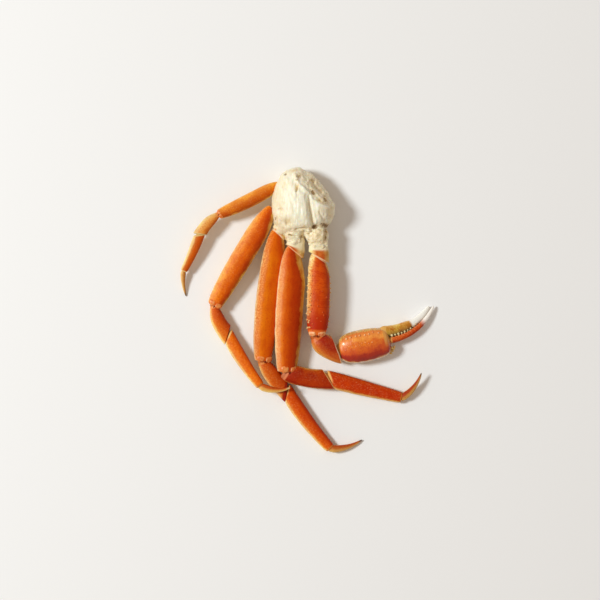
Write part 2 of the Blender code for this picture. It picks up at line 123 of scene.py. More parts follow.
# Stained places: east, north, long and short reach, turn, then how tan and how brown they are.
STAINS = (
    (2.6, 82.6, 13.0, 1.7, 99, 0.28, 0.0), (5.9, 69.2, 2.4, 1.9, 0, 1.0, 0.95),
    (14.6, 70.4, 4.4, 1.9, 172, 1.0, 0.60), (15.2, 63.6, 1.3, 6.0, 0, 0.9, 0.45),
    (3.7, 107.4, 2.0, 3.2, 40, 0.9, 0.26), (4.3, 97.2, 1.5, 3.0, 20, 1.0, 0.78),
    (10.5, 99.4, 4.0, 3.0, 120, 0.6, 0.10), (10.6, 90.6, 3.6, 1.3, 130, 0.9, 0.30),
    (14.4, 91.6, 2.2, 4.4, 20, 0.8, 0.36), (7.0, 103.0, 13.0, 5.0, 130, 0.24, 0.0),
    (-8.4, 100.8, 2.8, 0.9, 75, 0.95, 0.30), (-7.2, 111.0, 3.0, 2.0, 20, 1.0, 0.30),
    (-8.8, 107.6, 1.2, 1.0, 0, 0.9, 0.45), (-18.2, 112.6, 1.4, 1.0, 40, 0.9, 0.60),
    (-11.0, 116.0, 6.0, 1.6, 10, 0.8, 0.10), (-22.0, 83.6, 2.4, 2.0, 0, 0.75, 0.16),
    (-16.2, 73.2, 4.6, 3.6, 0, 0.75, 0.08), (-14.8, 62.8, 2.6, 0.8, 165, 0.9, 0.45),
    (12.6, 80.6, 6.0, 7.0, 0, 0.22, 0.0), (8.6, 60.0, 7.0, 8.0, 0, 0.55, 0.0),
    (-5.4, 60.2, 1.4, 2.6, 0, 0.9, 0.60), (-26.4, 76.6, 1.2, 1.6, 0, 0.8, 0.45),
    (18.6, 80.0, 3.6, 5.0, 10, 0.60, 0.06), (13.8, 58.6, 2.2, 5.0, 0, 0.75, 0.12),
    (-1.8, 68.0, 6.0, 0.8, 2, 0.6, 0.14), (0.4, 63.6, 1.6, 1.0, 0, 0.8, 0.30),
)


def reach_of(x, y, east, north, long, short, turn):
    """How near each point is to a place, from 1 at its middle down to 0 far from it."""
    turn = math.radians(turn)
    along = ((x - east) * math.cos(turn) + (y - north) * math.sin(turn)) / long
    across = ((y - north) * math.cos(turn) - (x - east) * math.sin(turn)) / short
    return np.exp(-(along**2) - across**2)


def beside(x, y, points):
    """How far each point is from a line through some points."""
    nearest = np.full(len(x), 1e9)
    for (x0, y0), (x1, y1) in zip(points, points[1:]):
        length = math.hypot(x1 - x0, y1 - y0)
        share = np.clip(((x - x0) * (x1 - x0) + (y - y0) * (y1 - y0)) / length**2, 0.0, 1.0)
        nearest = np.minimum(nearest, np.hypot(x - x0 - share * (x1 - x0), y - y0 - share * (y1 - y0)))
    return nearest


def lumpiness(points, scale, seed):
    """Smooth chance between -1 and 1 at each point, with a scale for each of the three ways."""
    return np.array([
        noise.noise(Vector((p[0] * scale[0] + seed, p[1] * scale[1], p[2] * scale[2]))) for p in points])


def ramped(values, start, width):
    """0 up to the start, 1 from a width further on, and straight between. A width below 0 goes back."""
    return np.clip((values - start) / width, 0.0, 1.0)


def shoulder_outline(angle):
    """The radius at an angle, eased from one of the given radii to the next."""
    place = (angle % math.tau) / math.tau * len(SHOULDER_RADII)
    index = int(place)
    ease = (1.0 - math.cos(math.pi * (place - index))) / 2
    near = SHOULDER_RADII[index % len(SHOULDER_RADII)]
    return near + (SHOULDER_RADII[(index + 1) % len(SHOULDER_RADII)] - near) * ease


def shoulder_body():
    """The egg of meat with its lobes, and the roots and lumps as eggs sunk in it."""
    shape = bmesh.new()
    rings_wanted = list(FOOT_RINGS)
    rise = CROWN_HEIGHT - WIDEST_AT
    for degrees in range(0, 90, 3):
        lift = math.radians(degrees)
        rings_wanted.append((math.cos(lift) ** 0.8, WIDEST_AT + rise * math.sin(lift) ** 0.8))
    rings = []
    for share, height in rings_wanted:
        ring = []
        for spoke in range(SPOKES):
            angle = math.tau * spoke / SPOKES
            radius = shoulder_outline(angle) * share
            x = SHOULDER_MIDDLE[0] + radius * math.cos(angle)
            y = SHOULDER_MIDDLE[1] + radius * math.sin(angle)
            lift = sum(lobe[5] * reach_of(x, y, *lobe[:5]) for lobe in LOBES)
            above = min(1.0, 2.0 * max(0.0, (height - WIDEST_AT) / rise))
            ring.append(shape.verts.new((x, y, height + lift * above)))
        rings.append(ring)
    for near, far in zip(rings, rings[1:]):
        for index in range(SPOKES):
            following = (index + 1) % SPOKES
            shape.faces.new((near[index], near[following], far[following], far[index]))
    shape.faces.new(rings[0][::-1])
    shape.faces.new(rings[-1])
    for x, y, z, long, wide, high, turn in ROOTS:
        turned = Euler((0, 0, math.radians(turn)))
        egg = Matrix.LocRotScale(Vector((x, y, z)), turned, Vector((long, wide, high)))
        bmesh.ops.create_uvsphere(shape, u_segments=32, v_segments=16, radius=1.0, matrix=egg)
    bmesh.ops.triangulate(shape, faces=[face for face in shape.faces if len(face.verts) > 4])
    bmesh.ops.scale(shape, vec=(MM, MM, MM), verts=shape.verts)
    mesh = bpy.data.meshes.new("shoulder_body")
    shape.to_mesh(mesh)
    shape.free()
    return mesh


def finished(made, name):
    """The object's mesh with its modifiers worked in, on a new plain object at the origin."""
    bpy.context.view_layer.update()
    mesh = bpy.data.meshes.new_from_object(made.evaluated_get(bpy.context.evaluated_depsgraph_get()))
    bpy.data.objects.remove(made)
    mesh.name = name
    piece = bpy.data.objects.new(name, mesh)
    bpy.context.scene.collection.objects.link(piece)
    return piece


def make_shoulder():
    """The body fused into one skin, with its folds and lumps worked in and its stains marked on it."""
    rough = bpy.data.objects.new("shoulder_rough", shoulder_body())
    bpy.context.scene.collection.objects.link(rough)
    fused = rough.modifiers.new("fused", "REMESH")
    fused.mode = "VOXEL"
    fused.voxel_size = VOXEL * MM
    eased = rough.modifiers.new("eased", "SMOOTH")
    eased.iterations = 6
    shoulder = finished(rough, "shoulder_meat")
    mesh = shoulder.data
    count = len(mesh.vertices)
    spots = np.empty(count * 3)
    mesh.vertices.foreach_get("co", spots)
    spots = spots.reshape(-1, 3) / MM
    x, y, z = spots.T
    outward = np.empty(count * 3)
    mesh.vertex_normals.foreach_get("vector", outward)
    outward = outward.reshape(-1, 3)
    on_top = ramped(z, 9.0, 6.0) * np.clip(outward[:, 2] * 1.6 + 0.2, 0.0, 1.0)

    lift = np.zeros(count)
    for points, width, height in FOLDS:
        lift += on_top * height * np.exp(-((beside(x, y, points) / width) ** 2))
    # The strip along the upper right, the lower end and the rim are rougher than the silky lobes.
    strip = ramped(x - 8.6 + (y - 90.0) * 0.92, 0.0, 3.0) * ramped(y, 84.0, 6.0)
    strip *= ramped(x, -8.0, 5.0)
    lower = ramped(y, 74.0, -8.0)
    rim = ramped(z, 18.0, -8.0)
    rough_part = np.clip(0.5 * strip + 0.62 * lower + 0.35 * rim, 0.0, 1.0)
    # Fine ridges down the silky lobes, lumps of two sizes that are higher on the rough part, and waves.
    lift += (1.0 - rough_part) * 0.36 * lumpiness(spots, (0.62, 0.10, 0.3), 3.0) * on_top
    lift += (0.24 + 0.62 * rough_part) * lumpiness(spots, (0.38, 0.38, 0.38), 11.0)
    lift += (0.07 + 0.34 * rough_part) * lumpiness(spots, (1.05, 1.05, 1.05), 23.0)
    lift += strip * on_top * 0.5 * lumpiness(spots, (0.24, 0.24, 0.1), 57.0)
    lift *= ramped(z, 0.0, 1.5)
    spots += outward * lift[:, None]
    spots[:, 2] = np.maximum(spots[:, 2], 0.0)
    mesh.vertices.foreach_set("co", (spots * MM).ravel())

    tan = 0.06 * strip + 0.12 * lower + 0.30 * ramped(z, 14.0, -14.0)
    # Painted shade: tan towards the left, on the side the lamp lights, tones down the light there.
    tan += 0.46 * ramped(x, -12.0, -14.0)
    brown = np.zeros(count)
    for east, north, long, short, turn, tan_here, brown_here in STAINS:
        near = reach_of(x, y, east, north, long, short, turn) * ramped(z, 8.0, 6.0)
        tan = np.maximum(tan, tan_here * near)
        brown = np.maximum(brown, brown_here * near)
    for label, values in (("tan", tan), ("brown", brown), ("rough_part", rough_part)):
        mesh.attributes.new(label, "FLOAT", "POINT").data.foreach_set("value", values.astype(np.float32))
    mesh.shade_smooth()
    mesh.update()
    return shoulder


def paint(red, green, blue):
    """A colour given in 0 to 255 as a screen shows it, turned into the light it stands for."""
    shades = [value / 255.0 for value in (red, green, blue)]
    return (*[s / 12.92 if s <= 0.04045 else ((s + 0.055) / 1.055) ** 2.4 for s in shades], 1.0)


class Net:
    """A tree of nodes that grows. Each call adds a node and gives one of its outputs."""

    def __init__(self, tree):
        self.tree = tree

    def fill(self, node, *values, into=None):
        """Fills a node's sockets in order, then by name, with numbers or with other nodes' outputs."""
        named = [(node.inputs[label], value) for label, value in (into or {}).items()]
        for socket, value in list(zip(node.inputs, values)) + named:
            if isinstance(value, bpy.types.NodeSocket):
                self.tree.links.new(value, socket)
            elif value is not None:
                socket.default_value = value

    def add(self, kind, *values, into=None, out=0, **settings):
        made = self.tree.nodes.new(kind)
        for label, value in settings.items():
            setattr(made, label, value)
        self.fill(made, *values, into=into)
        return made.outputs[out]

    def calc(self, operation, *values, clamp=False):
        return self.add("ShaderNodeMath", *values, operation=operation, use_clamp=clamp)

    def times(self, first, second):
        return self.calc("MULTIPLY", first, second)

    def between(self, value, low, high):
        """0 up to low and 1 from high on, eased between them. A high below low turns it round."""
        return self.add("ShaderNodeMapRange", value, low, high, 0.0, 1.0, interpolation_type="SMOOTHSTEP")

    def mixed(self, share, first, second, blend="MIX"):
        return self.add("ShaderNodeMixRGB", share, first, second, blend_type=blend)

    def over(self, base, color, mask, strength=1.0):
        """Lays a colour over the base where the mask is."""
        return self.mixed(self.times(mask, strength), base, color)

    def tinted(self, base, tint):
        return self.mixed(1.0, base, (*tint, 1.0), "MULTIPLY")

    def chance(self, where, scale, detail=2.0, roughness=0.5):
        """Soft chance around 0.5, as large as the scale is small."""
        sizes = {"Scale": scale, "Detail": detail, "Roughness": roughness}
        return self.add("ShaderNodeTexNoise", where, into=sizes)

    def axes(self, vector):
        return [self.add("ShaderNodeSeparateXYZ", vector, out=axis) for axis in range(3)]

    def give(self, geometry, finish):
        """Ends a geometry tree: what it made becomes plain mesh and takes its finish."""
        geometry = self.add("GeometryNodeRealizeInstances", geometry)
        geometry = self.add("GeometryNodeSetMaterial", geometry, into={"Material": finish})
        self.tree.links.new(geometry, self.tree.nodes.new("NodeGroupOutput").inputs[0])
        return self.tree


def new_finish(name):
    """An empty node material, the net to build it with, its surface shader and the place on the object."""
    material = bpy.data.materials.new(name)
    material.use_nodes = True
    net = Net(material.node_tree)
    return material, net, material.node_tree.nodes["Principled BSDF"], net.add("ShaderNodeTexCoord", out=3)


def meat_finish():
    """Cooked crab meat: cream white and silky with fine fibres, tan and brown at its stained membranes.
    The tan is also a painted shade towards the left, on the side the lamp lights.
    """
    material, net, surface, here = new_finish("crab meat")
    fibre_way = net.add("ShaderNodeMapping", here, into={"Scale": (1.0, 0.16, 0.5)})
    fibres = net.chance(fibre_way, 900.0, 3.0)
    clouds = net.chance(here, 190.0, 3.0)
    grains = net.chance(here, 1500.0)
    mottle = net.chance(here, 430.0, 4.0, 0.65)
    tan, brown, rough_part = [
        net.add("ShaderNodeAttribute", attribute_name=label, out=2)
        for label in ("tan", "brown", "rough_part")
    ]
    base = net.mixed(net.between(fibres, 0.35, 0.68), paint(245, 235, 206), paint(254, 250, 232))
    base = net.over(base, paint(240, 224, 182), net.between(clouds, 0.52, 0.74), 0.5)
    base = net.over(base, paint(250, 234, 194), rough_part, 0.8)
    # The tan share carries the stains and a painted shade on the side towards the lamp.
    tanned_and_shaded = net.calc("MULTIPLY", net.times(tan, net.calc("ADD", 0.45, clouds)), 0.95, clamp=True)
    base = net.mixed(tanned_and_shaded, base, paint(222, 190, 126))
    spotty = net.calc("ADD", brown, net.times(net.calc("SUBTRACT", mottle, 0.5), 1.5))
    spotty = net.times(net.between(spotty, 0.16, 0.56), net.between(brown, 0.02, 0.16))
    base = net.over(base, paint(126, 88, 42), spotty, 0.85)
    base = net.over(base, paint(198, 160, 98), net.between(mottle, 0.55, 0.62), net.times(rough_part, 0.75))
    base = net.over(base, paint(255, 252, 240), net.between(mottle, 0.42, 0.32), net.times(rough_part, 0.7))
    height = net.calc("ADD", net.times(fibres, 0.6), net.times(grains, 0.4))
    net.fill(surface, into={
        "Base Color": base,
        "Roughness": net.calc("ADD", 0.34, net.times(clouds, 0.26)),
        "Normal": net.add("ShaderNodeBump", into={"Strength": 0.55, "Distance": 0.0004, "Height": height}),
        "Subsurface Weight": 0.35, "Subsurface Radius": (1.0, 0.72, 0.4), "Subsurface Scale": 0.0022,
    })
    return material


def fasten(piece, node):
    """Keeps a piece on the part's one body, the root. The node that it dresses is not used."""
    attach(piece, "root")


shoulder = make_shoulder()
shoulder.data.materials.append(meat_finish())
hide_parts("shoulder")
fasten(shoulder, "shoulder")

# ---------------------------------------------------------------------------------------------
# Leg 1, the walking leg next to the claw. Five hollow shells of thin cooked crust on end, each
# with its neck in the socket of the one before. A shell is drawn out along its length from the
# named shares of its width and depth, and two pale knobs stand over the joint of the long one.

# Down the length of each kind of shell: share of the length, of the width and of the depth.
OUTLINES = {
    "ischium": (
        (-0.20, 0.62, 0.62), (-0.14, 0.78, 0.78), (0.0, 0.88, 0.88), (0.35, 0.95, 0.95),
        (0.70, 1.0, 1.0), (0.92, 0.98, 0.98), (1.0, 0.88, 0.88),
    ),
    "merus": (
        (-0.030, 0.26, 0.34), (-0.022, 0.38, 0.50), (0.01, 0.56, 0.66), (0.05, 0.70, 0.78),
        (0.12, 0.85, 0.88), (0.20, 0.95, 0.95), (0.32, 1.0, 1.0), (0.50, 1.0, 1.0),
        (0.68, 0.96, 0.97), (0.82, 0.89, 0.91), (0.91, 0.80, 0.84), (0.965, 0.72, 0.80),
        (0.99, 0.66, 0.76), (1.0, 0.56, 0.64),
    ),
    "carpus": (
        (-0.085, 0.34, 0.34), (-0.06, 0.54, 0.52), (0.02, 0.66, 0.62), (0.09, 0.74, 0.72),
        (0.20, 0.86, 0.86), (0.34, 0.95, 0.95), (0.52, 1.0, 1.0), (0.72, 1.0, 1.0),
        (0.88, 0.98, 0.98), (0.97, 0.95, 0.94), (1.0, 0.88, 0.86),
    ),
    "propodus": (
        (-0.035, 0.46, 0.46), (-0.028, 0.60, 0.60), (0.004, 0.62, 0.62), (0.012, 0.88, 0.88),
        (0.035, 0.97, 0.97), (0.10, 1.0, 1.0), (0.28, 0.98, 0.99), (0.50, 0.90, 0.93),
        (0.72, 0.80, 0.85), (0.88, 0.72, 0.78), (0.95, 0.67, 0.74), (0.985, 0.58, 0.64), (1.0, 0.46, 0.52),
    ),
    "blunt carpus": (
        (-0.085, 0.36, 0.36), (-0.06, 0.60, 0.56), (0.0, 0.78, 0.70), (0.07, 0.90, 0.82),
        (0.16, 0.98, 0.93), (0.30, 1.0, 1.0), (0.52, 1.0, 1.0), (0.72, 1.0, 1.0),
        (0.88, 0.98, 0.98), (0.97, 0.95, 0.94), (1.0, 0.88, 0.86),
    ),
    "slim carpus": (
        (-0.085, 0.30, 0.30), (-0.06, 0.44, 0.44), (0.02, 0.52, 0.54), (0.09, 0.62, 0.64),
        (0.20, 0.78, 0.80), (0.34, 0.92, 0.92), (0.52, 1.0, 1.0), (0.72, 1.02, 1.0),
        (0.88, 1.0, 0.98), (0.97, 0.96, 0.94), (1.0, 0.88, 0.86),
    ),
    "dactylus": (
        (-0.075, 0.34, 0.34), (-0.05, 0.62, 0.62), (0.02, 0.86, 0.86), (0.10, 1.0, 1.0),
        (0.24, 0.92, 0.94), (0.42, 0.76, 0.80), (0.60, 0.58, 0.63), (0.78, 0.40, 0.45),
        (0.90, 0.26, 0.30), (0.97, 0.16, 0.18), (1.0, 0.07, 0.08),
    ),
}
SQUARENESS = 2.35  # of a shell's cross section: 2 is an oval, and more is squarer
NEAR_SLANT_ENDS = 0.4  # the share of a shell's length at which the slant of its near rim has died out
FAR_SLANT_STARTS = 0.5
POLE = 0.000002  # points nearer than this are the closed end of a shell, in metres

# Sizes of a shell in millimetres and its turns in degrees. Its end height is that of its far joint, and
# its bow is how far its middle is to the left of the straight line between its joints.
Shell = namedtuple("Shell", "length heading end_height width depth bow near_slant far_slant roll")


def geometry_net(name, inputs, result):
    """A geometry tree with named inputs, listed by their type, and one result."""
    tree = bpy.data.node_groups.new(name, "GeometryNodeTree")
    for kind, labels in inputs.items():
        for label in labels:
            tree.interface.new_socket(name=label, in_out="INPUT", socket_type="NodeSocket" + kind)
    tree.interface.new_socket(name=result, in_out="OUTPUT", socket_type="NodeSocketGeometry")
    return Net(tree), tree.nodes.new("NodeGroupInput").outputs


def share_curve(net, down, stations, column):
    """The share of the width or depth at each share of the way down a shell, through its stations."""
    first, last = stations[0][0], stations[-1][0]
    curve = net.tree.nodes.new("ShaderNodeFloatCurve")
    line = curve.mapping.curves[0]
    points = [((station[0] - first) / (last - first), station[column]) for station in stations]
    line.points[0].location = points[0]
    line.points[1].location = points[-1]
    for point in points[1:-1]:
        line.points.new(*point)
    for point in line.points:
        point.handle_type = "AUTO_CLAMPED"
    curve.mapping.update()
    net.fill(curve, into={"Value": down})
    return curve.outputs[0]


def shell_tree(kind):
    """The way to draw out one kind of shell, with its sizes as inputs. It runs along X from its joint."""
    stations = OUTLINES[kind]
    first, last = stations[0][0], stations[-1][0]
    net, size = geometry_net(kind + " shell", {
        "Float": ("Length", "Width", "Depth", "Bow", "Near slant", "Far slant", "Rounding", "Unevenness"),
        "Int": ("Rows", "Points round", "Seed"), "Material": ("Finish",),
    }, "Shell")
    calc, times = net.calc, net.times

    skin = net.add("GeometryNodeMeshGrid", 1.0, 1.0, size["Rows"], size["Points round"])
    where = net.add("GeometryNodeInputPosition")
    row, round_it = [calc("ADD", axis, 0.5) for axis in net.axes(where)[:2]]
    crowded = 0.115  # brings the rows closer together towards both ends
    down = calc("SUBTRACT", row, times(calc("SINE", times(row, math.tau)), crowded))
    angle = calc("SUBTRACT", times(round_it, math.tau), math.pi / 2)
    place = net.add("ShaderNodeCombineXYZ", calc("ADD", times(down, last - first), first),
                    calc("COSINE", angle), calc("SINE", angle))
    skin = net.add("GeometryNodeStoreNamedAttribute", skin, data_type="FLOAT_VECTOR",
                   into={"Name": "place", "Value": place})
    share, side, top = net.axes(net.add("GeometryNodeInputNamedAttribute", "place", data_type="FLOAT_VECTOR"))
    down = calc("DIVIDE", calc("SUBTRACT", share, first), last - first)

    halves = [times(times(share_curve(net, down, stations, column), size[whole]), 0.5)
              for column, whole in ((1, "Width"), (2, "Depth"))]
    closing = []
    for from_end in (down, calc("SUBTRACT", 1.0, down)):
        away = calc("DIVIDE", times(times(from_end, last - first), size["Length"]), size["Rounding"])
        left = calc("SUBTRACT", 1.0, calc("MINIMUM", away, 1.0))
        closing.append(calc("SQRT", calc("MAXIMUM", calc("SUBTRACT", 1.0, times(left, left)), 0.0)))
    closed = times(*closing)

    def squared(value):
        return times(calc("SIGN", value), calc("POWER", calc("ABSOLUTE", value), 2 / SQUARENESS))

    across = times(times(squared(side), halves[0]), closed)
    up = times(times(squared(top), halves[1]), closed)
    inside = calc("ADD", share, 0.0, clamp=True)
    left_over = calc("SUBTRACT", 1.0, inside)
    four_bows = times(size["Bow"], 4.0)
    turn = calc("ARCTAN2", times(four_bows, calc("SUBTRACT", left_over, inside)), size["Length"])
    before = calc("SUBTRACT", 1.0, calc("DIVIDE", inside, NEAR_SLANT_ENDS), clamp=True)
    near = times(size["Near slant"], before)
    past = calc("DIVIDE", calc("SUBTRACT", share, FAR_SLANT_STARTS), FAR_SLANT_STARTS)
    far = times(size["Far slant"], calc("MAXIMUM", past, 0.0))
    skew = calc("SUBTRACT", calc("ADD", near, far), calc("SINE", turn))
    along = calc("ADD", times(share, size["Length"]), times(across, skew))
    sideways = calc("ADD", times(four_bows, times(inside, left_over)), times(across, calc("COSINE", turn)))
    spot = net.add("ShaderNodeCombineXYZ", along, sideways, up)
    skin = net.add("GeometryNodeSetPosition", skin, into={"Position": spot})
    skin = net.add("GeometryNodeMergeByDistance", skin, into={"Distance": POLE})
    moved = net.add("ShaderNodeVectorMath", where, size["Seed"], operation="ADD")
    lift = times(calc("SUBTRACT", net.chance(moved, 150.0), 0.5), size["Unevenness"])
    shift = net.add("ShaderNodeVectorMath", net.add("GeometryNodeInputNormal"), into={"Scale": lift},
                    operation="SCALE")
    skin = net.add("GeometryNodeSetPosition", skin, into={"Offset": shift})
    skin = net.add("GeometryNodeSetShadeSmooth", skin)
    return net.give(skin, size["Finish"])


def worked(name, tree, sizes, start=None):
    """An object made by a tree with these sizes, as a plain mesh."""
    rough = bpy.data.objects.new(name + "_rough", start or bpy.data.meshes.new(name + "_rough"))
    bpy.context.scene.collection.objects.link(rough)
    maker = rough.modifiers.new("maker", "NODES")
    maker.node_group = tree
    for item in tree.interface.items_tree:
        if item.in_out == "INPUT" and item.name in sizes:
            maker[item.identifier] = sizes[item.name]
    return finished(rough, name)


def laid(start, shell):
    """The matrix that lays a shell from its joint, and the joint at its far end."""
    rise = shell.end_height - start[2]
    run = math.sqrt(shell.length**2 - rise**2)
    heading = math.radians(shell.heading)
    turned = Euler((math.radians(shell.roll), -math.asin(rise / shell.length), heading))
    end = (start[0] + run * math.cos(heading), start[1] + run * math.sin(heading), shell.end_height)
    return Matrix.LocRotScale(Vector(start) * MM, turned, None), end


def skin_point(kind, shell, share, turn_degrees):
    """A point on a shell's skin at a share of its length and an angle round it, 90 being the top."""
    shares, widths, depths = zip(*OUTLINES[kind])
    half_width = shell.width * np.interp(share, shares, widths) / 2
    half_depth = shell.depth * np.interp(share, shares, depths) / 2
    angle = math.radians(turn_degrees)
    across = half_width * math.copysign(abs(math.cos(angle)) ** (2 / SQUARENESS), math.cos(angle))
    up = half_depth * math.copysign(abs(math.sin(angle)) ** (2 / SQUARENESS), math.sin(angle))
    slant = math.tan(math.radians(shell.near_slant)) * max(0.0, 1.0 - max(share, 0.0) / NEAR_SLANT_ENDS)
    slant += math.tan(math.radians(shell.far_slant)) * max(0.0, (share - FAR_SLANT_STARTS) / FAR_SLANT_STARTS)
    return (share * shell.length + across * slant, shell.bow * 4 * share * (1 - share) + across, up)


def crust_finish(name, length, bands, near_rim=None, far_rim=None, dots=(0.0, 0.5, 0.2), blotches=0.3,
                 streaks=0.0, streak_way=(0.03, 1.0), tip=None, gloss=0.36, shine=0.12, wet=0.0,
                 golden_start=(0.0, 0.0), joint_shade=0.35):
    """Cooked crust. Bands are colours round the shell, from 0 underneath through 0.25 on the left, 0.5 on
    top and 0.75 on the right. They are partly the crust's own colours and partly painted light: the paler
    tones on the side towards the lamp are partly a painted highlight, the darker reds on the side away
    from it partly painted shade. A rim or tip is a colour and its reach. A rim may keep to the left. Dots
    are how strong, where round the shell and how wide they are spread. Streak way is how quickly the
    streaks change along and round the shell. Golden start is how far the left band reaches over near the
    joint, and how far both pale edges are pulled in there. Gloss is the roughness. Joint shade is how
    strong the painted shade is in the groove at each joint."""
    material, net, surface, here = new_finish(name)
    calc, times, between, over = net.calc, net.times, net.between, net.over
    share, side, top = net.axes(net.add("ShaderNodeAttribute", attribute_name="place", out=1))
    angle = calc("ARCTAN2", side, times(top, -1.0))
    round_it = calc("FRACT", calc("DIVIDE", angle, math.tau))
    clouds = net.chance(here, 170.0, 4.0, 0.6)
    patches = net.chance(here, 62.0)
    grains = net.chance(here, 1300.0)
    wander = times(calc("SUBTRACT", clouds, 0.5), 0.10)

    # The bands round the shell, then redder, paler and golden blotches and a fine grain over them.
    wider = calc("SUBTRACT", 1.0, calc("DIVIDE", share, 0.20), clamp=True)
    stretch = calc("ADD", 1.0, times(wider, golden_start[1]))
    band = times(calc("SUBTRACT", round_it, 0.5), stretch)
    band = calc("ADD", calc("ADD", band, 0.5), wander)
    ramp = net.tree.nodes.new("ShaderNodeValToRGB")
    net.fill(ramp, calc("SUBTRACT", band, times(wider, golden_start[0])))
    ramp.color_ramp.interpolation = "EASE"
    while len(ramp.color_ramp.elements) < len(bands):
        ramp.color_ramp.elements.new(0.5)
    for stop, (position, color) in zip(ramp.color_ramp.elements, bands):
        stop.position = position
        stop.color = paint(*color)
    base = ramp.outputs[0]
    redder = net.tinted(base, (0.80, 0.50, 0.30))
    base = over(base, redder, between(clouds, 0.48, 0.68), blotches)
    base = over(base, net.tinted(base, (1.16, 1.42, 1.5)), between(clouds, 0.47, 0.28), 0.6 * blotches)
    base = over(base, net.tinted(base, (1.08, 1.32, 1.10)), between(patches, 0.48, 0.62), 0.9 * blotches)
    base = over(base, redder, between(patches, 0.50, 0.36), 0.7 * blotches)
    base = over(base, net.tinted(base, (0.74, 0.56, 0.5)), between(grains, 0.50, 0.72), 0.36)

    # Pale specks with redder lines between them on one side, mostly the side towards the lamp: the pale
    # specks are partly a painted highlight on the granules and the redder lines partly painted shade.
    # Small pits all over, made redder as painted shade in them.
    strength, middle, spread = dots
    cells = net.add("ShaderNodeTexVoronoi", here, into={"Scale": 760.0, "Randomness": 0.85})
    off_middle = calc("ABSOLUTE", calc("SUBTRACT", round_it, middle))
    spread_out = between(off_middle, spread, 0.35 * spread)
    dotted = times(times(between(cells, 0.42, 0.18), spread_out), between(clouds, 0.36, 0.50))
    speck = net.tinted(net.mixed(0.22, base, paint(255, 200, 140)), (1.12, 1.25, 1.3))
    base = over(base, speck, dotted, strength)
    base = over(base, redder, times(between(cells, 0.50, 0.70), spread_out), strength)
    pits = net.add("ShaderNodeTexVoronoi", here, into={"Scale": 520.0, "Randomness": 1.0})
    pit = between(pits, 0.30, 0.14)
    base = over(base, redder, pit, 0.6)

    # Streaks along the shell, the colour of its tip and the rims of its two joints, with a dark line of
    # painted shade in the groove at a rimmed joint.
    if streaks:
        lengthwise, crosswise = streak_way
        way = net.add("ShaderNodeCombineXYZ", times(share, lengthwise * length), times(angle, crosswise), 0.0)
        base = over(base, redder, between(net.chance(way, 3.4, 3.0), 0.50, 0.66), streaks)
    along = times(share, length)
    reach = calc("ADD", along, times(wander, 12.0))
    if tip:
        color, distance, soft = tip
        base = over(base, paint(*color), between(reach, length - distance - soft, length - distance))

    def rimmed(base, rim, start, full):
        """Lays a rim's colour from where it starts to where it is full, or only on the left."""
        mask = between(reach, start, full)
        left_only = rim[2:]
        return over(base, paint(*rim[0]), mask, between(side, -0.5, 0.2) if left_only else 1.0)

    if near_rim:
        base = rimmed(base, near_rim, 1.15 * near_rim[1] + 0.6, 0.9 * near_rim[1])
        # Painted shade in the groove at the near joint, where the neck goes into the socket.
        base = over(base, paint(120, 52, 22), between(reach, 0.5, -0.1), joint_shade)
    if far_rim:
        base = rimmed(base, far_rim, length - 1.4 * far_rim[1] - 0.4, length - far_rim[1])
        # Painted shade in the groove at the far joint.
        base = over(base, paint(104, 44, 18), between(along, length - 0.32, length - 0.16), joint_shade)

    height = calc("ADD", times(grains, 0.35), times(dotted, 0.7))
    height = calc("SUBTRACT", height, times(pit, 0.4))
    height = calc("ADD", height, times(clouds, 1.2))
    net.fill(surface, into={
        "Base Color": base,
        "Roughness": calc("ADD", gloss, times(grains, 0.16)),
        "Normal": net.add("ShaderNodeBump", into={"Strength": 0.7, "Distance": 0.00022, "Height": height}),
        "Specular IOR Level": shine, "Coat Weight": wet, "Coat Roughness": 0.30,
    })
    return material


def knob_finish(name, pale, deep):
    """The hard knobs and bumps of the joints and the claw, uneven from a pale to a deeper colour."""
    material, net, surface, here = new_finish(name)
    clouds = net.chance(here, 520.0, 3.0)
    net.fill(surface, into={
        "Base Color": net.mixed(net.between(clouds, 0.38, 0.66), paint(*pale), paint(*deep)),
        "Roughness": net.calc("ADD", 0.30, net.times(clouds, 0.2)),
        "Normal": net.add("ShaderNodeBump", into={"Strength": 0.4, "Distance": 0.0002, "Height": clouds}),
    })
    return material


def stud_tree():
    """Stands small eggs or thorns on points. Each point has its way out, its girth and its height."""
    net, size = geometry_net("studs", {
        "Geometry": ("Points",), "Float": ("Sharpness",), "Material": ("Finish",)}, "Studs")
    egg = net.add("GeometryNodeMeshUVSphere", 10, 7, 1.0)
    where = net.add("GeometryNodeInputPosition")
    above = net.calc("MAXIMUM", net.axes(where)[2], 0.0)
    thinner = net.calc("SUBTRACT", 1.0, net.times(size["Sharpness"], above))
    narrowed = net.add("ShaderNodeVectorMath", where, net.add("ShaderNodeCombineXYZ", thinner, thinner, 1.0),
                       operation="MULTIPLY")
    egg = net.add("GeometryNodeSetPosition", egg, into={"Position": narrowed})
    egg = net.add("GeometryNodeSetShadeSmooth", egg)
    way, girth = [net.add("GeometryNodeInputNamedAttribute", label, data_type="FLOAT_VECTOR")
                  for label in ("way_out", "girth")]
    turned = net.add("FunctionNodeAlignRotationToVector", into={"Vector": way}, axis="Z")
    studs = net.add("GeometryNodeInstanceOnPoints", size["Points"],
                    into={"Instance": egg, "Rotation": turned, "Scale": girth})
    return net.give(studs, size["Finish"])


STUDS = stud_tree()


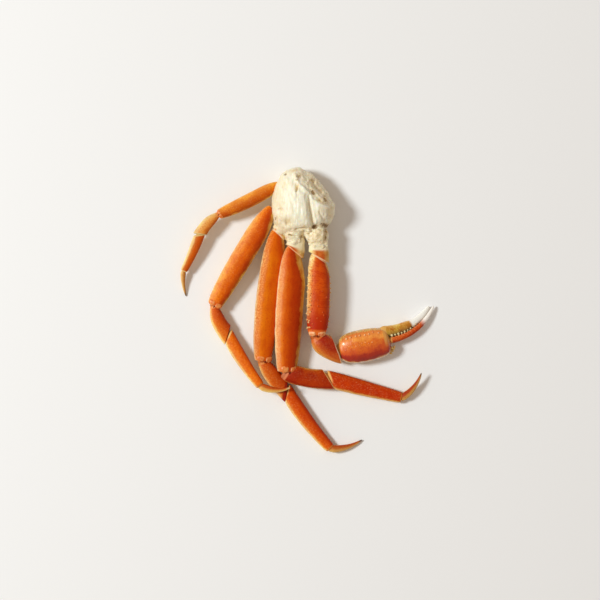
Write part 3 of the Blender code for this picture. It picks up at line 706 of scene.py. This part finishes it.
def studs_on(name, matrix, points, sharpness, finish):
    """Studs at points of a shell: each is its place, its way out, and its girth, girth and height."""
    start = bpy.data.meshes.new(name + "_points")
    start.from_pydata([matrix @ (Vector(spot) * MM) for spot, way, girth in points], [], [])
    ways = start.attributes.new("way_out", "FLOAT_VECTOR", "POINT")
    girths = start.attributes.new("girth", "FLOAT_VECTOR", "POINT")
    for index, (spot, way, girth) in enumerate(points):
        ways.data[index].vector = matrix.to_3x3() @ Vector(way)
        girths.data[index].vector = Vector(girth) * MM
    return worked(name, STUDS, {"Sharpness": sharpness, "Finish": finish}, start)


SHELL_TREES = {kind: shell_tree(kind) for kind in OUTLINES}


def drawn_shell(name, kind, shell, finish, rows, around, rounding, uneven, seed):
    """The skin of a shell with its joint at the origin. Uneven is how far it is off its smooth form."""
    return worked(name, SHELL_TREES[kind], {
        "Length": shell.length * MM, "Width": shell.width * MM, "Depth": shell.depth * MM,
        "Bow": shell.bow * MM, "Near slant": math.tan(math.radians(shell.near_slant)),
        "Far slant": math.tan(math.radians(shell.far_slant)), "Rounding": rounding * MM,
        "Unevenness": uneven * MM, "Rows": rows, "Points round": around + 1, "Seed": seed, "Finish": finish,
    })


def make_shell(node, kind, start, shell, finish, rows=110, around=48, rounding=1.0, uneven=0.035):
    """One shell of a limb in place of its solid, uneven by a share of its width. Gives the matrix that
    lays it and its far joint."""
    uneven *= shell.width
    seed = len(bpy.data.objects)
    piece = drawn_shell(node + "_shell", kind, shell, finish, rows, around, rounding, uneven, seed)
    matrix, end = laid(start, shell)
    piece.data.transform(matrix)
    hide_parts(node)
    fasten(piece, node)
    return matrix, end


def joint_knobs(node, kind, matrix, shell, finish, turns=(58, 112)):
    """The two broad low knobs over the joint at the far end of a long shell, with a dark notch and a
    pale ridge between them. The dark of the notch is painted shade in the gap between the knobs."""
    size = 0.070 * shell.width  # the notch and the ridge go by it too
    middle = sum(turns) / 2
    knobs = []
    for turn in turns:
        for aside in (-14, -7, 0, 7, 14):
            along, across, up = skin_point(kind, shell, 1.0 - 1.9 * size / shell.length, turn + aside)
            reach = size * (2.3 - 0.03 * abs(aside))
            girth = 1.35 * size
            knobs.append(((along, across, up - 0.9 * size), (1.0, 0.0, 0.05), (girth, girth, reach)))
    along, across, up = skin_point(kind, shell, 1.0 - 0.4 * size / shell.length, middle)
    notch = [((along, across, up - 0.2 * size), (1.0, 0.0, 0.0), (0.5 * size, 0.5 * size, 1.3 * size))]
    along, across, up = skin_point(kind, shell, 1.0 - 1.6 * size / shell.length, middle - 7)
    ridge = [((along, across, up), (1.0, 0.0, 0.0), (0.30 * size, 0.30 * size, 1.4 * size))]
    for name, points, look in (
        ("_knobs", knobs, finish), ("_notch_shade", notch, NOTCH_SHADE), ("_ridge", ridge, PALE_KNOB),
    ):
        fasten(studs_on(node + name, matrix, points, 0.1, look), node)


KNOB = knob_finish("joint knob", (244, 154, 78), (224, 106, 28))
PALE_KNOB = knob_finish("pale knob", (248, 190, 126), (234, 128, 62))
# The dark red of the notch and of the pits on the claw arm is painted shade in them.
NOTCH_SHADE = crust_finish("joint notch shade", 10.0, ((0.0, (124, 34, 10)), (0.5, (112, 30, 8)), (1.0, (124, 34, 10))))
UNDERSIDE = (222, 168, 98)
CRUST_NAMES = {"ischium": "root", "merus": "long", "carpus": "wrist", "propodus": "hand", "dactylus": "tip"}


def make_leg(number, hip, shells):
    """A leg from its hip to its tip. Each shell is its name, its kind, its rows and points round, its
    sizes, the bands of its crust and what else its crust shows."""
    joint = hip
    for name, kind, rows, around, sizes, bands, marks in shells:
        node = f"leg_{number}_{name}"
        shell = Shell(*sizes)
        finish = crust_finish(f"leg {number} {CRUST_NAMES[name]} crust", shell.length, bands, **marks)
        uneven = 0.10 if name == "ischium" else 0.035
        place, joint = make_shell(node, kind, joint, shell, finish, rows, around, uneven=uneven)
        if name == "merus":
            joint_knobs(node, kind, place, shell, KNOB)


# The bands are partly the crust's own colours and partly painted light: paler towards the lamp, partly a
# painted highlight, and darker red away from it, partly painted shade.
make_leg(1, (-9.6, 59.7, 15.0), (
    ("ischium", "ischium", 40, 48, (11.6, 264, 14.6, 16.0, 12.0, 0.0, 0, 38, -12), (
        (0.0, (226, 196, 138)), (0.34, (226, 190, 118)), (0.43, (236, 198, 128)), (0.53, (218, 112, 42)),
        (0.59, (224, 120, 48)), (0.69, (246, 220, 176)), (1.0, (238, 212, 164)),
    ), dict(
        near_rim=((246, 230, 190), 7.4), far_rim=((244, 198, 150), 0.4), blotches=1.0, joint_shade=0.1,
    )),
    ("merus", "merus", 110, 48, (100.2, 266.265, 9.8, 23.2, 15.0, -1.2, 38, 0, -18), (
        (0.0, UNDERSIDE), (0.31, (226, 180, 100)), (0.38, (212, 138, 50)), (0.42, (182, 58, 4)),
        (0.48, (194, 60, 0)), (0.555, (216, 86, 2)), (0.60, (232, 116, 28)), (0.65, (240, 152, 88)),
        (0.70, (246, 176, 114)), (0.735, (252, 220, 172)), (1.0, UNDERSIDE),
    ), dict(
        near_rim=((244, 198, 150), 0.3), far_rim=((238, 160, 92), 0.5), dots=(0.5, 0.72, 0.13), blotches=0.35,
        streaks=0.3, golden_start=(0.13, 0.2), joint_shade=0.15,
    )),
    ("carpus", "blunt carpus", 80, 48, (36.4, 350.5, 7.4, 15.8, 11.0, -1.8, 14, -36, 0), (
        (0.0, UNDERSIDE), (0.26, (230, 180, 104)), (0.31, (206, 116, 44)), (0.36, (182, 62, 8)),
        (0.46, (172, 48, 3)), (0.58, (176, 48, 2)), (0.66, (162, 40, 3)), (0.70, (210, 130, 56)),
        (0.75, (228, 176, 104)), (1.0, UNDERSIDE),
    ), dict(
        near_rim=((222, 130, 84), 1.4), far_rim=((240, 196, 124), 0.8), dots=(0.3, 0.42, 0.2), blotches=0.8,
    )),
    ("propodus", "propodus", 110, 48, (62.8, 345.6, 4.4, 14.2, 9.6, -0.2, -36, 0, 0), (
        (0.0, UNDERSIDE), (0.22, (214, 150, 78)), (0.285, (190, 70, 16)), (0.35, (212, 76, 3)),
        (0.48, (206, 62, 0)), (0.585, (206, 64, 2)), (0.615, (210, 100, 28)), (0.65, (236, 176, 96)),
        (0.72, (244, 206, 134)), (1.0, UNDERSIDE),
    ), dict(
        near_rim=((240, 182, 104), 1.9, True), far_rim=((222, 132, 50), 1.1), dots=(0.6, 0.5, 0.2),
        blotches=0.5, streaks=0.4,
    )),
    ("dactylus", "dactylus", 80, 32, (26.8, 53, 8.6, 6.2, 6.0, -2.4, 0, 0, 0), (
        (0.0, (204, 156, 88)), (0.25, (214, 166, 96)), (0.30, (190, 100, 44)), (0.35, (168, 52, 10)),
        (0.46, (176, 60, 16)), (0.53, (206, 140, 70)), (0.61, (222, 172, 100)), (0.72, (200, 140, 76)),
        (1.0, (204, 156, 88)),
    ), dict(
        tip=((128, 100, 74), 0.6, 4.0), blotches=0.4,
    )),
))

# ---------------------------------------------------------------------------------------------
# Leg 2, the longest walking leg. It lies partly under leg 1 and carries the tip of leg 3. Its
# crust is densely speckled on the side towards the light, the pale specks partly a painted
# highlight, and smooth orange on the other.

# The bands are partly the crust's own colours and partly painted light: paler towards the lamp, partly a
# painted highlight, and darker red away from it, partly painted shade.
make_leg(2, (-21.2, 71.7, 12.8), (
    ("ischium", "ischium", 40, 48, (9.4, 250, 12.2, 13.4, 10.5, 0.0, 0, 34, -12), (
        (0.0, (226, 196, 138)), (0.34, (230, 194, 124)), (0.45, (236, 196, 126)), (0.51, (222, 128, 56)),
        (0.60, (226, 134, 60)), (0.66, (244, 212, 164)), (1.0, (236, 208, 158)),
    ), dict(
        near_rim=((244, 224, 180), 5.6), far_rim=((248, 212, 172), 0.7), blotches=0.5, joint_shade=0.1,
    )),
    ("merus", "merus", 110, 48, (106.4, 262.95, 7.8, 20.4, 14.5, -1.9, 34, 0, -16), (
        (0.0, UNDERSIDE), (0.29, (214, 156, 74)), (0.335, (196, 92, 20)), (0.40, (214, 82, 0)),
        (0.50, (228, 102, 0)), (0.57, (236, 120, 8)), (0.63, (232, 134, 50)), (0.69, (236, 154, 88)),
        (0.73, (248, 206, 150)), (0.82, (240, 200, 146)), (1.0, UNDERSIDE),
    ), dict(
        near_rim=((248, 212, 172), 0.4), far_rim=((238, 160, 92), 0.5), dots=(0.9, 0.72, 0.16), blotches=0.4,
        streaks=0.3, golden_start=(0.12, 0.2), joint_shade=0.15,
    )),
    # Its dark red far end is painted shadow under the tip of leg 3, which lies across it.
    ("carpus", "carpus", 80, 48, (32.8, 308.2, 4.8, 13.8, 9.6, -1.2, 0, -42, 0), (
        (0.0, UNDERSIDE), (0.20, (206, 134, 66)), (0.27, (182, 58, 8)), (0.42, (196, 74, 4)),
        (0.54, (212, 94, 14)), (0.60, (222, 114, 34)), (0.645, (236, 170, 96)), (0.70, (240, 194, 126)),
        (1.0, UNDERSIDE),
    ), dict(
        near_rim=((228, 140, 70), 1.6), far_rim=((150, 28, 6), 1.0), dots=(0.4, 0.6, 0.22), blotches=0.4,
        tip=((158, 32, 5), 2.6, 2.4),
    )),
    ("propodus", "propodus", 110, 48, (60.4, 307.6, 4.0, 13.0, 8.6, -1.6, -42, 0, 0), (
        (0.0, UNDERSIDE), (0.20, (206, 130, 60)), (0.27, (180, 54, 8)), (0.36, (204, 60, 0)),
        (0.48, (218, 80, 0)), (0.55, (230, 100, 10)), (0.60, (236, 132, 44)), (0.635, (246, 196, 122)),
        (0.70, (248, 216, 152)), (1.0, UNDERSIDE),
    ), dict(
        near_rim=((238, 172, 96), 1.4, True), far_rim=((224, 138, 56), 1.2), dots=(0.5, 0.6, 0.22),
        blotches=0.4, streaks=0.25,
    )),
    ("dactylus", "dactylus", 80, 32, (27.4, 16, 1.6, 6.2, 5.4, -2.2, 0, 0, 0), (
        (0.0, (216, 170, 100)), (0.24, (206, 130, 66)), (0.34, (180, 66, 20)), (0.46, (190, 92, 32)),
        (0.57, (220, 160, 84)), (0.70, (236, 196, 124)), (1.0, (216, 170, 100)),
    ), dict(
        tip=((92, 62, 44), 0.8, 3.4), blotches=0.4,
    )),
))

# ---------------------------------------------------------------------------------------------
# Leg 3. Its root is under the edge of the shoulder, and its last two shells bend round until the
# tip rests on the wrist of leg 2. Bright orange, with a reddish far half and a yellow edge.

# The bands are partly the crust's own colours and partly painted light: paler towards the lamp, partly a
# painted highlight, and darker red away from it, partly painted shade.
make_leg(3, (-30.8, 82.8, 13.4), (
    ("merus", "merus", 110, 48, (92.4, 239, 8.0, 18.0, 13.5, -0.6, 20, 0, 0), (
        (0.0, UNDERSIDE), (0.24, (236, 198, 120)), (0.31, (224, 166, 76)), (0.35, (198, 88, 14)),
        (0.40, (204, 76, 2)), (0.48, (230, 104, 4)), (0.55, (242, 132, 34)), (0.62, (248, 160, 80)),
        (0.66, (250, 176, 108)), (0.70, (255, 206, 142)), (1.0, UNDERSIDE),
    ), dict(
        far_rim=((238, 160, 92), 0.5), dots=(0.35, 0.60, 0.24), blotches=0.75, streaks=0.3,
        golden_start=(0.10, 0.15),
    )),
    ("carpus", "slim carpus", 80, 48, (27.8, 295.6, 6.4, 12.4, 9.6, -2.0, 0, -40, 0), (
        (0.0, UNDERSIDE), (0.20, (206, 130, 60)), (0.27, (186, 62, 8)), (0.42, (204, 76, 8)),
        (0.54, (226, 104, 16)), (0.595, (238, 136, 44)), (0.635, (248, 196, 122)), (0.70, (248, 212, 146)),
        (1.0, UNDERSIDE),
    ), dict(
        near_rim=((238, 152, 84), 1.4), far_rim=((156, 34, 8), 0.5), dots=(0.3, 0.5, 0.24), blotches=0.4,
    )),
    ("propodus", "propodus", 110, 48, (50.4, 303, 11.4, 11.6, 8.4, -1.2, -40, 0, 0), (
        (0.0, UNDERSIDE), (0.20, (206, 124, 54)), (0.27, (190, 60, 4)), (0.38, (236, 102, 4)),
        (0.50, (244, 120, 10)), (0.56, (242, 128, 28)), (0.60, (240, 152, 60)), (0.635, (250, 212, 142)),
        (0.70, (250, 222, 160)), (1.0, UNDERSIDE),
    ), dict(
        near_rim=((250, 200, 122), 2.0, True), far_rim=((224, 142, 62), 0.9), dots=(0.5, 0.55, 0.24),
        blotches=0.4, streaks=0.2,
    )),
    ("dactylus", "dactylus", 80, 32, (24.8, 357.5, 13.6, 6.4, 5.4, -2.6, 0, 0, 0), (
        (0.0, (226, 180, 102)), (0.20, (214, 140, 66)), (0.30, (188, 70, 18)), (0.44, (200, 90, 24)),
        (0.54, (228, 166, 80)), (0.66, (244, 206, 130)), (1.0, (226, 180, 102)),
    ), dict(
        tip=((226, 196, 140), 0.5, 4.0), blotches=0.35,
    )),
))

# ---------------------------------------------------------------------------------------------
# Leg 4, the small last leg. Thin shells, orange above and straw yellow along the outer side, with
# a golden tip that darkens to its end.

# The bands are partly the crust's own colours and partly painted light: paler towards the lamp, partly a
# painted highlight, and darker red away from it, partly painted shade.
make_leg(4, (-24.8, 104.4, 14.4), (
    ("merus", "merus", 90, 48, (55.2, 206.4, 12.2, 11.8, 9.6, 1.0, 0, 0, 0), (
        (0.0, UNDERSIDE), (0.24, (238, 200, 124)), (0.32, (226, 162, 72)), (0.37, (196, 92, 14)),
        (0.46, (216, 106, 6)), (0.56, (238, 146, 44)), (0.65, (246, 168, 76)), (0.70, (248, 192, 116)),
        (0.80, (240, 190, 120)), (1.0, UNDERSIDE),
    ), dict(
        far_rim=((236, 166, 100), 0.5), dots=(0.3, 0.55, 0.24), blotches=0.7, streaks=0.3,
    )),
    ("carpus", "slim carpus", 80, 40, (23.2, 226.5, 10.6, 9.6, 7.8, -1.5, 0, -26, 0), (
        (0.0, UNDERSIDE), (0.26, (220, 160, 84)), (0.33, (208, 108, 36)), (0.44, (228, 136, 50)),
        (0.53, (238, 168, 86)), (0.60, (236, 190, 122)), (0.68, (236, 208, 146)), (0.80, (240, 210, 150)),
        (1.0, UNDERSIDE),
    ), dict(
        near_rim=((230, 146, 76), 1.0), far_rim=((226, 196, 132), 0.9), dots=(0.3, 0.5, 0.2), blotches=0.6,
        joint_shade=0.1,
    )),
    ("propodus", "propodus", 80, 40, (33.8, 246, 6.6, 8.8, 6.6, 0.6, -26, 0, 0), (
        (0.0, UNDERSIDE), (0.25, (206, 130, 60)), (0.33, (206, 90, 16)), (0.47, (210, 88, 8)),
        (0.535, (216, 120, 40)), (0.59, (238, 196, 124)), (0.66, (246, 220, 160)), (1.0, UNDERSIDE),
    ), dict(
        near_rim=((226, 190, 120), 0.8), far_rim=((230, 196, 124), 0.8), blotches=0.25, streaks=0.2,
        joint_shade=0.1,
    )),
    ("dactylus", "dactylus", 80, 32, (21.8, 275.5, 0.7, 4.4, 4.0, -1.2, 0, 0, 0), (
        (0.0, (206, 156, 84)), (0.30, (176, 108, 48)), (0.46, (206, 138, 62)), (0.62, (240, 198, 128)),
        (1.0, (216, 170, 100)),
    ), dict(
        tip=((112, 82, 56), 0.6, 5.0), blotches=0.35,
    )),
))

# ---------------------------------------------------------------------------------------------
# Claw arm. A short root, a heavy arm with rows of blunt spines along both edges, a wrist, a fat
# palm that ends in a fixed finger, and a hinged finger. Small rounded teeth meet along both.

OUTLINES["arm"] = (
    (-0.045, 0.30, 0.34), (-0.03, 0.46, 0.52), (0.01, 0.68, 0.70), (0.06, 0.82, 0.82),
    (0.14, 0.93, 0.92), (0.26, 0.98, 0.98), (0.45, 1.0, 1.0), (0.64, 1.0, 1.0),
    (0.80, 0.97, 0.97), (0.90, 0.88, 0.92), (0.965, 0.76, 0.84), (1.0, 0.62, 0.70),
)
OUTLINES["wrist"] = (
    (-0.12, 0.34, 0.34), (-0.09, 0.52, 0.52), (0.02, 0.62, 0.62), (0.12, 0.78, 0.78),
    (0.28, 0.94, 0.94), (0.50, 1.0, 1.0), (0.74, 0.96, 1.0), (0.92, 0.88, 0.96), (1.0, 0.80, 0.88),
)
OUTLINES["palm"] = (
    (-0.03, 0.30, 0.36), (-0.015, 0.40, 0.42), (0.035, 0.44, 0.46), (0.05, 0.58, 0.53),
    (0.09, 0.72, 0.64), (0.16, 0.85, 0.79), (0.26, 0.94, 0.92), (0.40, 1.0, 1.0), (0.60, 1.0, 0.99),
    (0.76, 0.95, 0.92), (0.89, 0.86, 0.81), (0.97, 0.74, 0.68), (1.02, 0.56, 0.50),
)
OUTLINES["finger"] = (
    (-0.055, 0.40, 0.40), (-0.04, 0.66, 0.66), (0.0, 0.88, 0.88), (0.08, 1.0, 1.0),
    (0.22, 0.94, 0.96), (0.40, 0.86, 0.90), (0.58, 0.76, 0.80), (0.74, 0.62, 0.66),
    (0.86, 0.50, 0.50), (0.95, 0.36, 0.32), (0.99, 0.20, 0.18), (1.0, 0.08, 0.08),
)
OUTLINES["fixed finger"] = (
    (-0.20, 0.50, 0.50), (-0.17, 0.88, 0.90), (-0.08, 1.14, 1.20), (0.02, 1.16, 1.18),
    (0.12, 1.04, 1.04), (0.24, 0.96, 0.94), (0.38, 0.90, 0.86), (0.47, 0.82, 0.80), (0.53, 0.68, 0.70),
    (0.62, 0.58, 0.60), (0.76, 0.47, 0.48), (0.88, 0.36, 0.38), (0.96, 0.24, 0.26), (1.0, 0.08, 0.08),
)
for kind in ("arm", "wrist", "palm", "finger", "fixed finger"):
    SHELL_TREES[kind] = shell_tree(kind)

# The fixed finger's heading is measured from the palm's, and it drops by its own matrix below.
CLAW_HIP = (9.0, 56.8, 16.2)
CLAW_ISCHIUM = Shell(13.4, 272, 16.0, 16.6, 12.8, 0.0, 0, 34, 0)
CLAW_ARM = Shell(64.81, 268.335, 14.0, 18.8, 16.0, 0.6, 34, 0, 0)
CLAW_WRIST = Shell(21.4, 325.6, 9.8, 18.0, 14.0, -2.6, 0, -46, 0)
CLAW_PALM = Shell(44.4, 10.6, 8.5, 27.2, 17.0, -0.4, 0, 0, 0)
FIXED_FINGER = Shell(45.0, 18.8, 0.0, 10.4, 8.6, -5.6, 0, 0, 0)
FIXED_FINGER_DROP = 4.6
MOVABLE_FINGER = Shell(47.4, 37.7, 3.2, 5.9, 6.2, -6.1, 0, 0, 0)


def way_round(turn_degrees, lean=0.0):
    """The way out of a shell at an angle round it, leaning towards its far end."""
    angle = math.radians(turn_degrees)
    return (lean, math.cos(angle), math.sin(angle))


place, joint = make_shell("claw_ischium", "ischium", CLAW_HIP, CLAW_ISCHIUM, crust_finish(
    "claw root crust", CLAW_ISCHIUM.length, (
        (0.0, (226, 200, 146)), (0.32, (226, 194, 124)), (0.37, (228, 176, 100)), (0.45, (216, 112, 44)),
        (0.52, (220, 116, 46)), (0.64, (244, 208, 152)), (0.74, (250, 236, 200)), (1.0, (226, 200, 146)),
    ), near_rim=((246, 232, 194), 6.4), far_rim=((250, 218, 182), 0.5), blotches=1.0, joint_shade=0.1,
), rows=40, uneven=0.10)
# The bands are partly the crust's own colours and partly painted light: paler towards the lamp, partly a
# painted highlight, and darker red away from it, partly painted shade.
place, joint = make_shell("claw_merus", "arm", joint, CLAW_ARM, crust_finish(
    "claw arm crust", 64.8, (
        (0.0, (232, 190, 122)), (0.24, (230, 182, 108)), (0.28, (214, 120, 52)), (0.33, (202, 72, 12)),
        (0.42, (208, 74, 10)), (0.50, (214, 76, 4)), (0.55, (218, 86, 10)), (0.59, (228, 114, 38)),
        (0.62, (240, 164, 92)), (0.655, (255, 208, 132)), (0.72, (255, 228, 172)), (1.0, (232, 190, 122)),
    ), near_rim=((250, 210, 166), 0.3), far_rim=((228, 106, 36), 4.2), dots=(0.5, 0.62, 0.12), blotches=0.8,
    tip=((186, 44, 4), 8.0, 20.0), streaks=0.75, streak_way=(0.22, 0.35), golden_start=(0.0, 0.8),
    joint_shade=0.15,
))
CLAW_KNOB = knob_finish("claw knob", (250, 184, 120), (224, 104, 40))
joint_knobs("claw_merus", "arm", place, CLAW_ARM, CLAW_KNOB, (56, 118))

SPINE = crust_finish("spine crust", CLAW_ARM.length, (
    (0.0, (240, 196, 130)), (0.5, (246, 206, 146)), (1.0, (240, 196, 130))), blotches=0.2)
chance = random.Random(7)
points = []
# Each row of spines: where round the arm it runs, how many it has, how high and how wide they are.
for turn, count, height, width in (
    (168, 9, 2.2, 0.8), (12, 9, 2.4, 0.85), (150, 9, 1.8, 0.95), (134, 8, 1.2, 0.85), (160, 9, 1.2, 0.7),
):
    for number in range(count):
        share = 0.14 + 0.80 * (number + 0.5) / count + chance.uniform(-0.02, 0.02)
        angle = turn + chance.uniform(-6, 6)
        spot = skin_point("arm", CLAW_ARM, share, angle)
        points.append((spot, way_round(angle, 0.25), (width, width, height * 0.5)))
fasten(studs_on("claw_arm_spines", place, points, 0.6, SPINE), "claw_merus")
points = []
# Three rows of ten small dark pits between the spines. Their dark red is painted shade in the pits.
for turn in (152, 138, 126):
    for number in range(10):
        share = 0.22 + 0.72 * (number + 0.5) / 10 + chance.uniform(-0.02, 0.02)
        angle = turn + chance.uniform(-4, 4)
        spot = Vector(skin_point("arm", CLAW_ARM, share, angle)) - 0.1 * Vector(way_round(angle))
        points.append((spot, way_round(angle), (0.42, 0.42, 0.3)))
fasten(studs_on("claw_arm_shaded_pits", place, points, 0.0, NOTCH_SHADE), "claw_merus")
points = []
# Low bumps scattered over the far part of the arm.
for number in range(14):
    share = 0.40 + 0.54 * (number + 0.5) / 14
    angle = chance.uniform(48, 130)
    girth = chance.uniform(0.5, 0.8)
    points.append((skin_point("arm", CLAW_ARM, share, angle), way_round(angle), (girth, girth, 0.7 * girth)))
BUMP = crust_finish("arm bump crust", CLAW_ARM.length, (
    (0.0, (214, 84, 20)), (0.5, (222, 98, 28)), (1.0, (214, 84, 20))), blotches=0.2, shine=0.3)
fasten(studs_on("claw_arm_bumps", place, points, 0.1, BUMP), "claw_merus")

# The bands are partly the crust's own colours and partly painted light: paler towards the lamp, partly a
# painted highlight, and darker red away from it, partly painted shade.
place, joint = make_shell("claw_carpus", "wrist", joint, CLAW_WRIST, crust_finish(
    "claw wrist crust", CLAW_WRIST.length, (
        (0.0, (232, 190, 122)), (0.26, (240, 198, 136)), (0.31, (222, 128, 62)), (0.37, (180, 48, 6)),
        (0.49, (178, 44, 2)), (0.55, (204, 84, 20)), (0.63, (224, 124, 46)), (0.70, (236, 166, 86)),
        (1.0, (232, 190, 122)),
    ), near_rim=((220, 112, 46), 2.0), far_rim=((250, 226, 190), 0.9), dots=(0.3, 0.5, 0.2), blotches=0.8,
    streaks=0.6, gloss=0.3, shine=0.25,
), rows=80)
# The bands are partly the crust's own colours and partly painted light: paler towards the lamp, partly a
# painted highlight, and darker red away from it, partly painted shade.
palm_place, palm_end = make_shell("claw_palm", "palm", joint, CLAW_PALM, crust_finish(
    "claw palm crust", CLAW_PALM.length, (
        (0.0, (240, 206, 150)), (0.24, (224, 188, 116)), (0.325, (220, 168, 88)), (0.36, (240, 138, 56)),
        (0.43, (252, 156, 62)), (0.48, (238, 118, 16)), (0.55, (218, 86, 4)), (0.59, (182, 44, 0)),
        (0.65, (166, 32, 0)), (0.675, (206, 112, 52)), (0.70, (246, 218, 168)), (1.0, (240, 206, 150)),
    ), near_rim=((196, 140, 70), 1.6), far_rim=((226, 156, 72), 3.6, True), dots=(0.2, 0.42, 0.16),
    blotches=0.6, streaks=0.7, streak_way=(0.5, 0.2), gloss=0.13, shine=0.3, wet=0.8,
    golden_start=(0.02, 0.3),
), rounding=4.0)
points = []
# Each row of tubercles: where round the palm, from which share of it to which, how many and how big.
for turn, first, last, count, size in (
    (22, 0.20, 0.90, 7, 0.80), (50, 0.20, 0.80, 8, 1.25), (84, 0.16, 0.66, 9, 0.60),
):
    for number in range(count):
        share = first + (last - first) * number / (count - 1) + chance.uniform(-0.012, 0.012)
        angle = turn + chance.uniform(-4, 4)
        girth = size * chance.uniform(0.7, 1.1)
        spot = skin_point("palm", CLAW_PALM, share, angle)
        points.append((spot, way_round(angle), (0.85 * girth, 0.85 * girth, 0.8 * girth)))
TUBERCLE = knob_finish("tubercle", (254, 196, 132), (236, 132, 60))
fasten(studs_on("claw_palm_tubercles", palm_place, points, 0.25, TUBERCLE), "claw_palm")

# The fixed finger goes on from the far right of the palm and drops to the ground.
drop = math.asin(FIXED_FINGER_DROP / FIXED_FINGER.length)
fixed_turn = Euler((0.0, drop, math.radians(FIXED_FINGER.heading)))
fixed_place = palm_place @ Matrix.LocRotScale(Vector((40.4, 7.6, 0.0)) * MM, fixed_turn, None)
# Its dark olive band on the side towards the movable finger is painted shade in the gap between the fingers.
fixed_finger = drawn_shell("claw_fixed_finger_shell", "fixed finger", FIXED_FINGER, crust_finish(
    "fixed finger crust", FIXED_FINGER.length, (
        (0.0, (240, 220, 180)), (0.29, (246, 222, 160)), (0.37, (232, 186, 96)), (0.47, (206, 146, 52)),
        (0.54, (176, 124, 54)), (0.575, (116, 84, 42)), (0.66, (84, 60, 34)), (0.74, (92, 64, 34)),
        (1.0, (240, 220, 180)),
    ), near_rim=((230, 176, 92), 1.5), tip=((254, 250, 240), 20.0, 2.4), dots=(0.5, 0.4, 0.2), blotches=1.0,
    gloss=0.3, joint_shade=0.0,
), rows=110, around=40, rounding=0.6, uneven=0.3, seed=5)
fixed_finger.data.transform(fixed_place)
fasten(fixed_finger, "claw_palm")
# Its dark brown band on the side towards the fixed finger is painted shade in the gap between the fingers.
finger_place, _ = make_shell("claw_dactylus", "finger", palm_end, MOVABLE_FINGER, crust_finish(
    "movable finger crust", MOVABLE_FINGER.length, (
        (0.0, (226, 150, 90)), (0.26, (120, 70, 36)), (0.31, (192, 84, 30)), (0.40, (228, 118, 60)),
        (0.50, (214, 90, 30)), (0.60, (190, 62, 8)), (0.74, (206, 110, 50)), (1.0, (226, 150, 90)),
    ), near_rim=((222, 150, 76), 1.4), tip=((254, 246, 236), 12.0, 7.0), dots=(0.7, 0.45, 0.2), blotches=0.8,
    gloss=0.3,
))

# The soft skin at the hinge of the movable finger: places on the palm and the girth of each lump.
points = [((x, y, z), (1.0, -0.6, 0.2), (girth, girth, 1.2 * girth)) for x, y, z, girth in (
    (45.0, -6.6, 1.0, 1.3), (46.4, -7.4, 0.2, 1.1), (45.0, -9.0, -0.6, 1.2), (47.4, -6.0, -0.4, 0.9),
    (43.6, -10.8, -1.0, 1.1),
)]
HINGE = crust_finish("hinge skin", FIXED_FINGER.length, (
    (0.0, (236, 200, 124)), (0.5, (226, 176, 84)), (1.0, (236, 200, 124))), blotches=0.5)
fasten(studs_on("claw_hinge_skin", palm_place, points, 0.2, HINGE), "claw_palm")

# The teeth along each finger, smaller towards its tip and every second one smaller again.
TEETH = 9
TOOTH = crust_finish("tooth", FIXED_FINGER.length, (
    (0.0, (222, 200, 150)), (0.5, (232, 214, 168)), (1.0, (222, 200, 150))), blotches=0.3, gloss=0.25)
for name, node, lay, kind, shell, turn, first, last, size in (
    ("fixed", "claw_palm", fixed_place, "fixed finger", FIXED_FINGER, 128, 0.10, 0.60, 1.35),
    ("movable", "claw_dactylus", finger_place, "finger", MOVABLE_FINGER, 40, 0.18, 0.60, 0.8),
):
    points = []
    for number in range(TEETH):
        spot = skin_point(kind, shell, first + (last - first) * number / (TEETH - 1), turn)
        tooth = size * (1.0 - 0.35 * number / (TEETH - 1)) * (1.0 if number % 2 == 0 else 0.8)
        points.append((spot, way_round(turn + 12), (0.85 * tooth, 0.85 * tooth, tooth)))
    fasten(studs_on(f"claw_{name}_finger_teeth", lay, points, 0.1, TOOTH), node)

# ---------------------------------------------------------------------------------------------
# Floor, light and camera. A plain pale floor, one soft lamp from the left and a warm even fill,
# and the camera straight above.

floor_shape = bmesh.new()
bmesh.ops.create_grid(floor_shape, x_segments=1, y_segments=1, size=1.5)
floor_mesh = bpy.data.meshes.new("floor")
floor_shape.to_mesh(floor_mesh)
floor_shape.free()
floor = bpy.data.objects.new("floor", floor_mesh)
bpy.context.scene.collection.objects.link(floor)
material, net, surface, here = new_finish("pale floor")
net.fill(surface, into={"Base Color": paint(247, 246, 245), "Roughness": 0.85})
floor_mesh.materials.append(material)

lamp_data = bpy.data.lights.new("soft lamp", "AREA")
lamp_data.shape = "DISK"
lamp_data.size = 0.75
lamp_data.energy = 78.0
lamp_data.color = (0.93, 1.0, 1.03)
lamp = bpy.data.objects.new("soft lamp", lamp_data)
LAMP_LIFT = math.radians(47)
LAMP_DISTANCE = 3.2
aside = math.cos(LAMP_LIFT)
lamp_way = Vector((-0.98 * aside, 0.196 * aside, math.sin(LAMP_LIFT)))
lamp.location = Vector((0.0, 0.04, 0.0)) + LAMP_DISTANCE * lamp_way
lamp.rotation_euler = lamp_way.to_track_quat("Z", "Y").to_euler()
bpy.context.scene.collection.objects.link(lamp)

world = bpy.data.worlds.new("fill")
world.use_nodes = True
fill = world.node_tree.nodes["Background"]
fill.inputs["Color"].default_value = (1.0, 0.865, 0.745, 1.0)
fill.inputs["Strength"].default_value = 0.40
bpy.context.scene.world = world
bpy.context.scene.view_settings.view_transform = "Standard"

CAMERA_HEIGHT = 1.6
VIEW_WIDTH = 0.504
eye = bpy.data.cameras.new("camera")
eye.sensor_width = 36.0
eye.lens = eye.sensor_width * CAMERA_HEIGHT / VIEW_WIDTH
camera = bpy.data.objects.new("camera", eye)
camera.location = (-0.0063, 0.0086, CAMERA_HEIGHT)
bpy.context.scene.collection.objects.link(camera)
bpy.context.scene.camera = camera
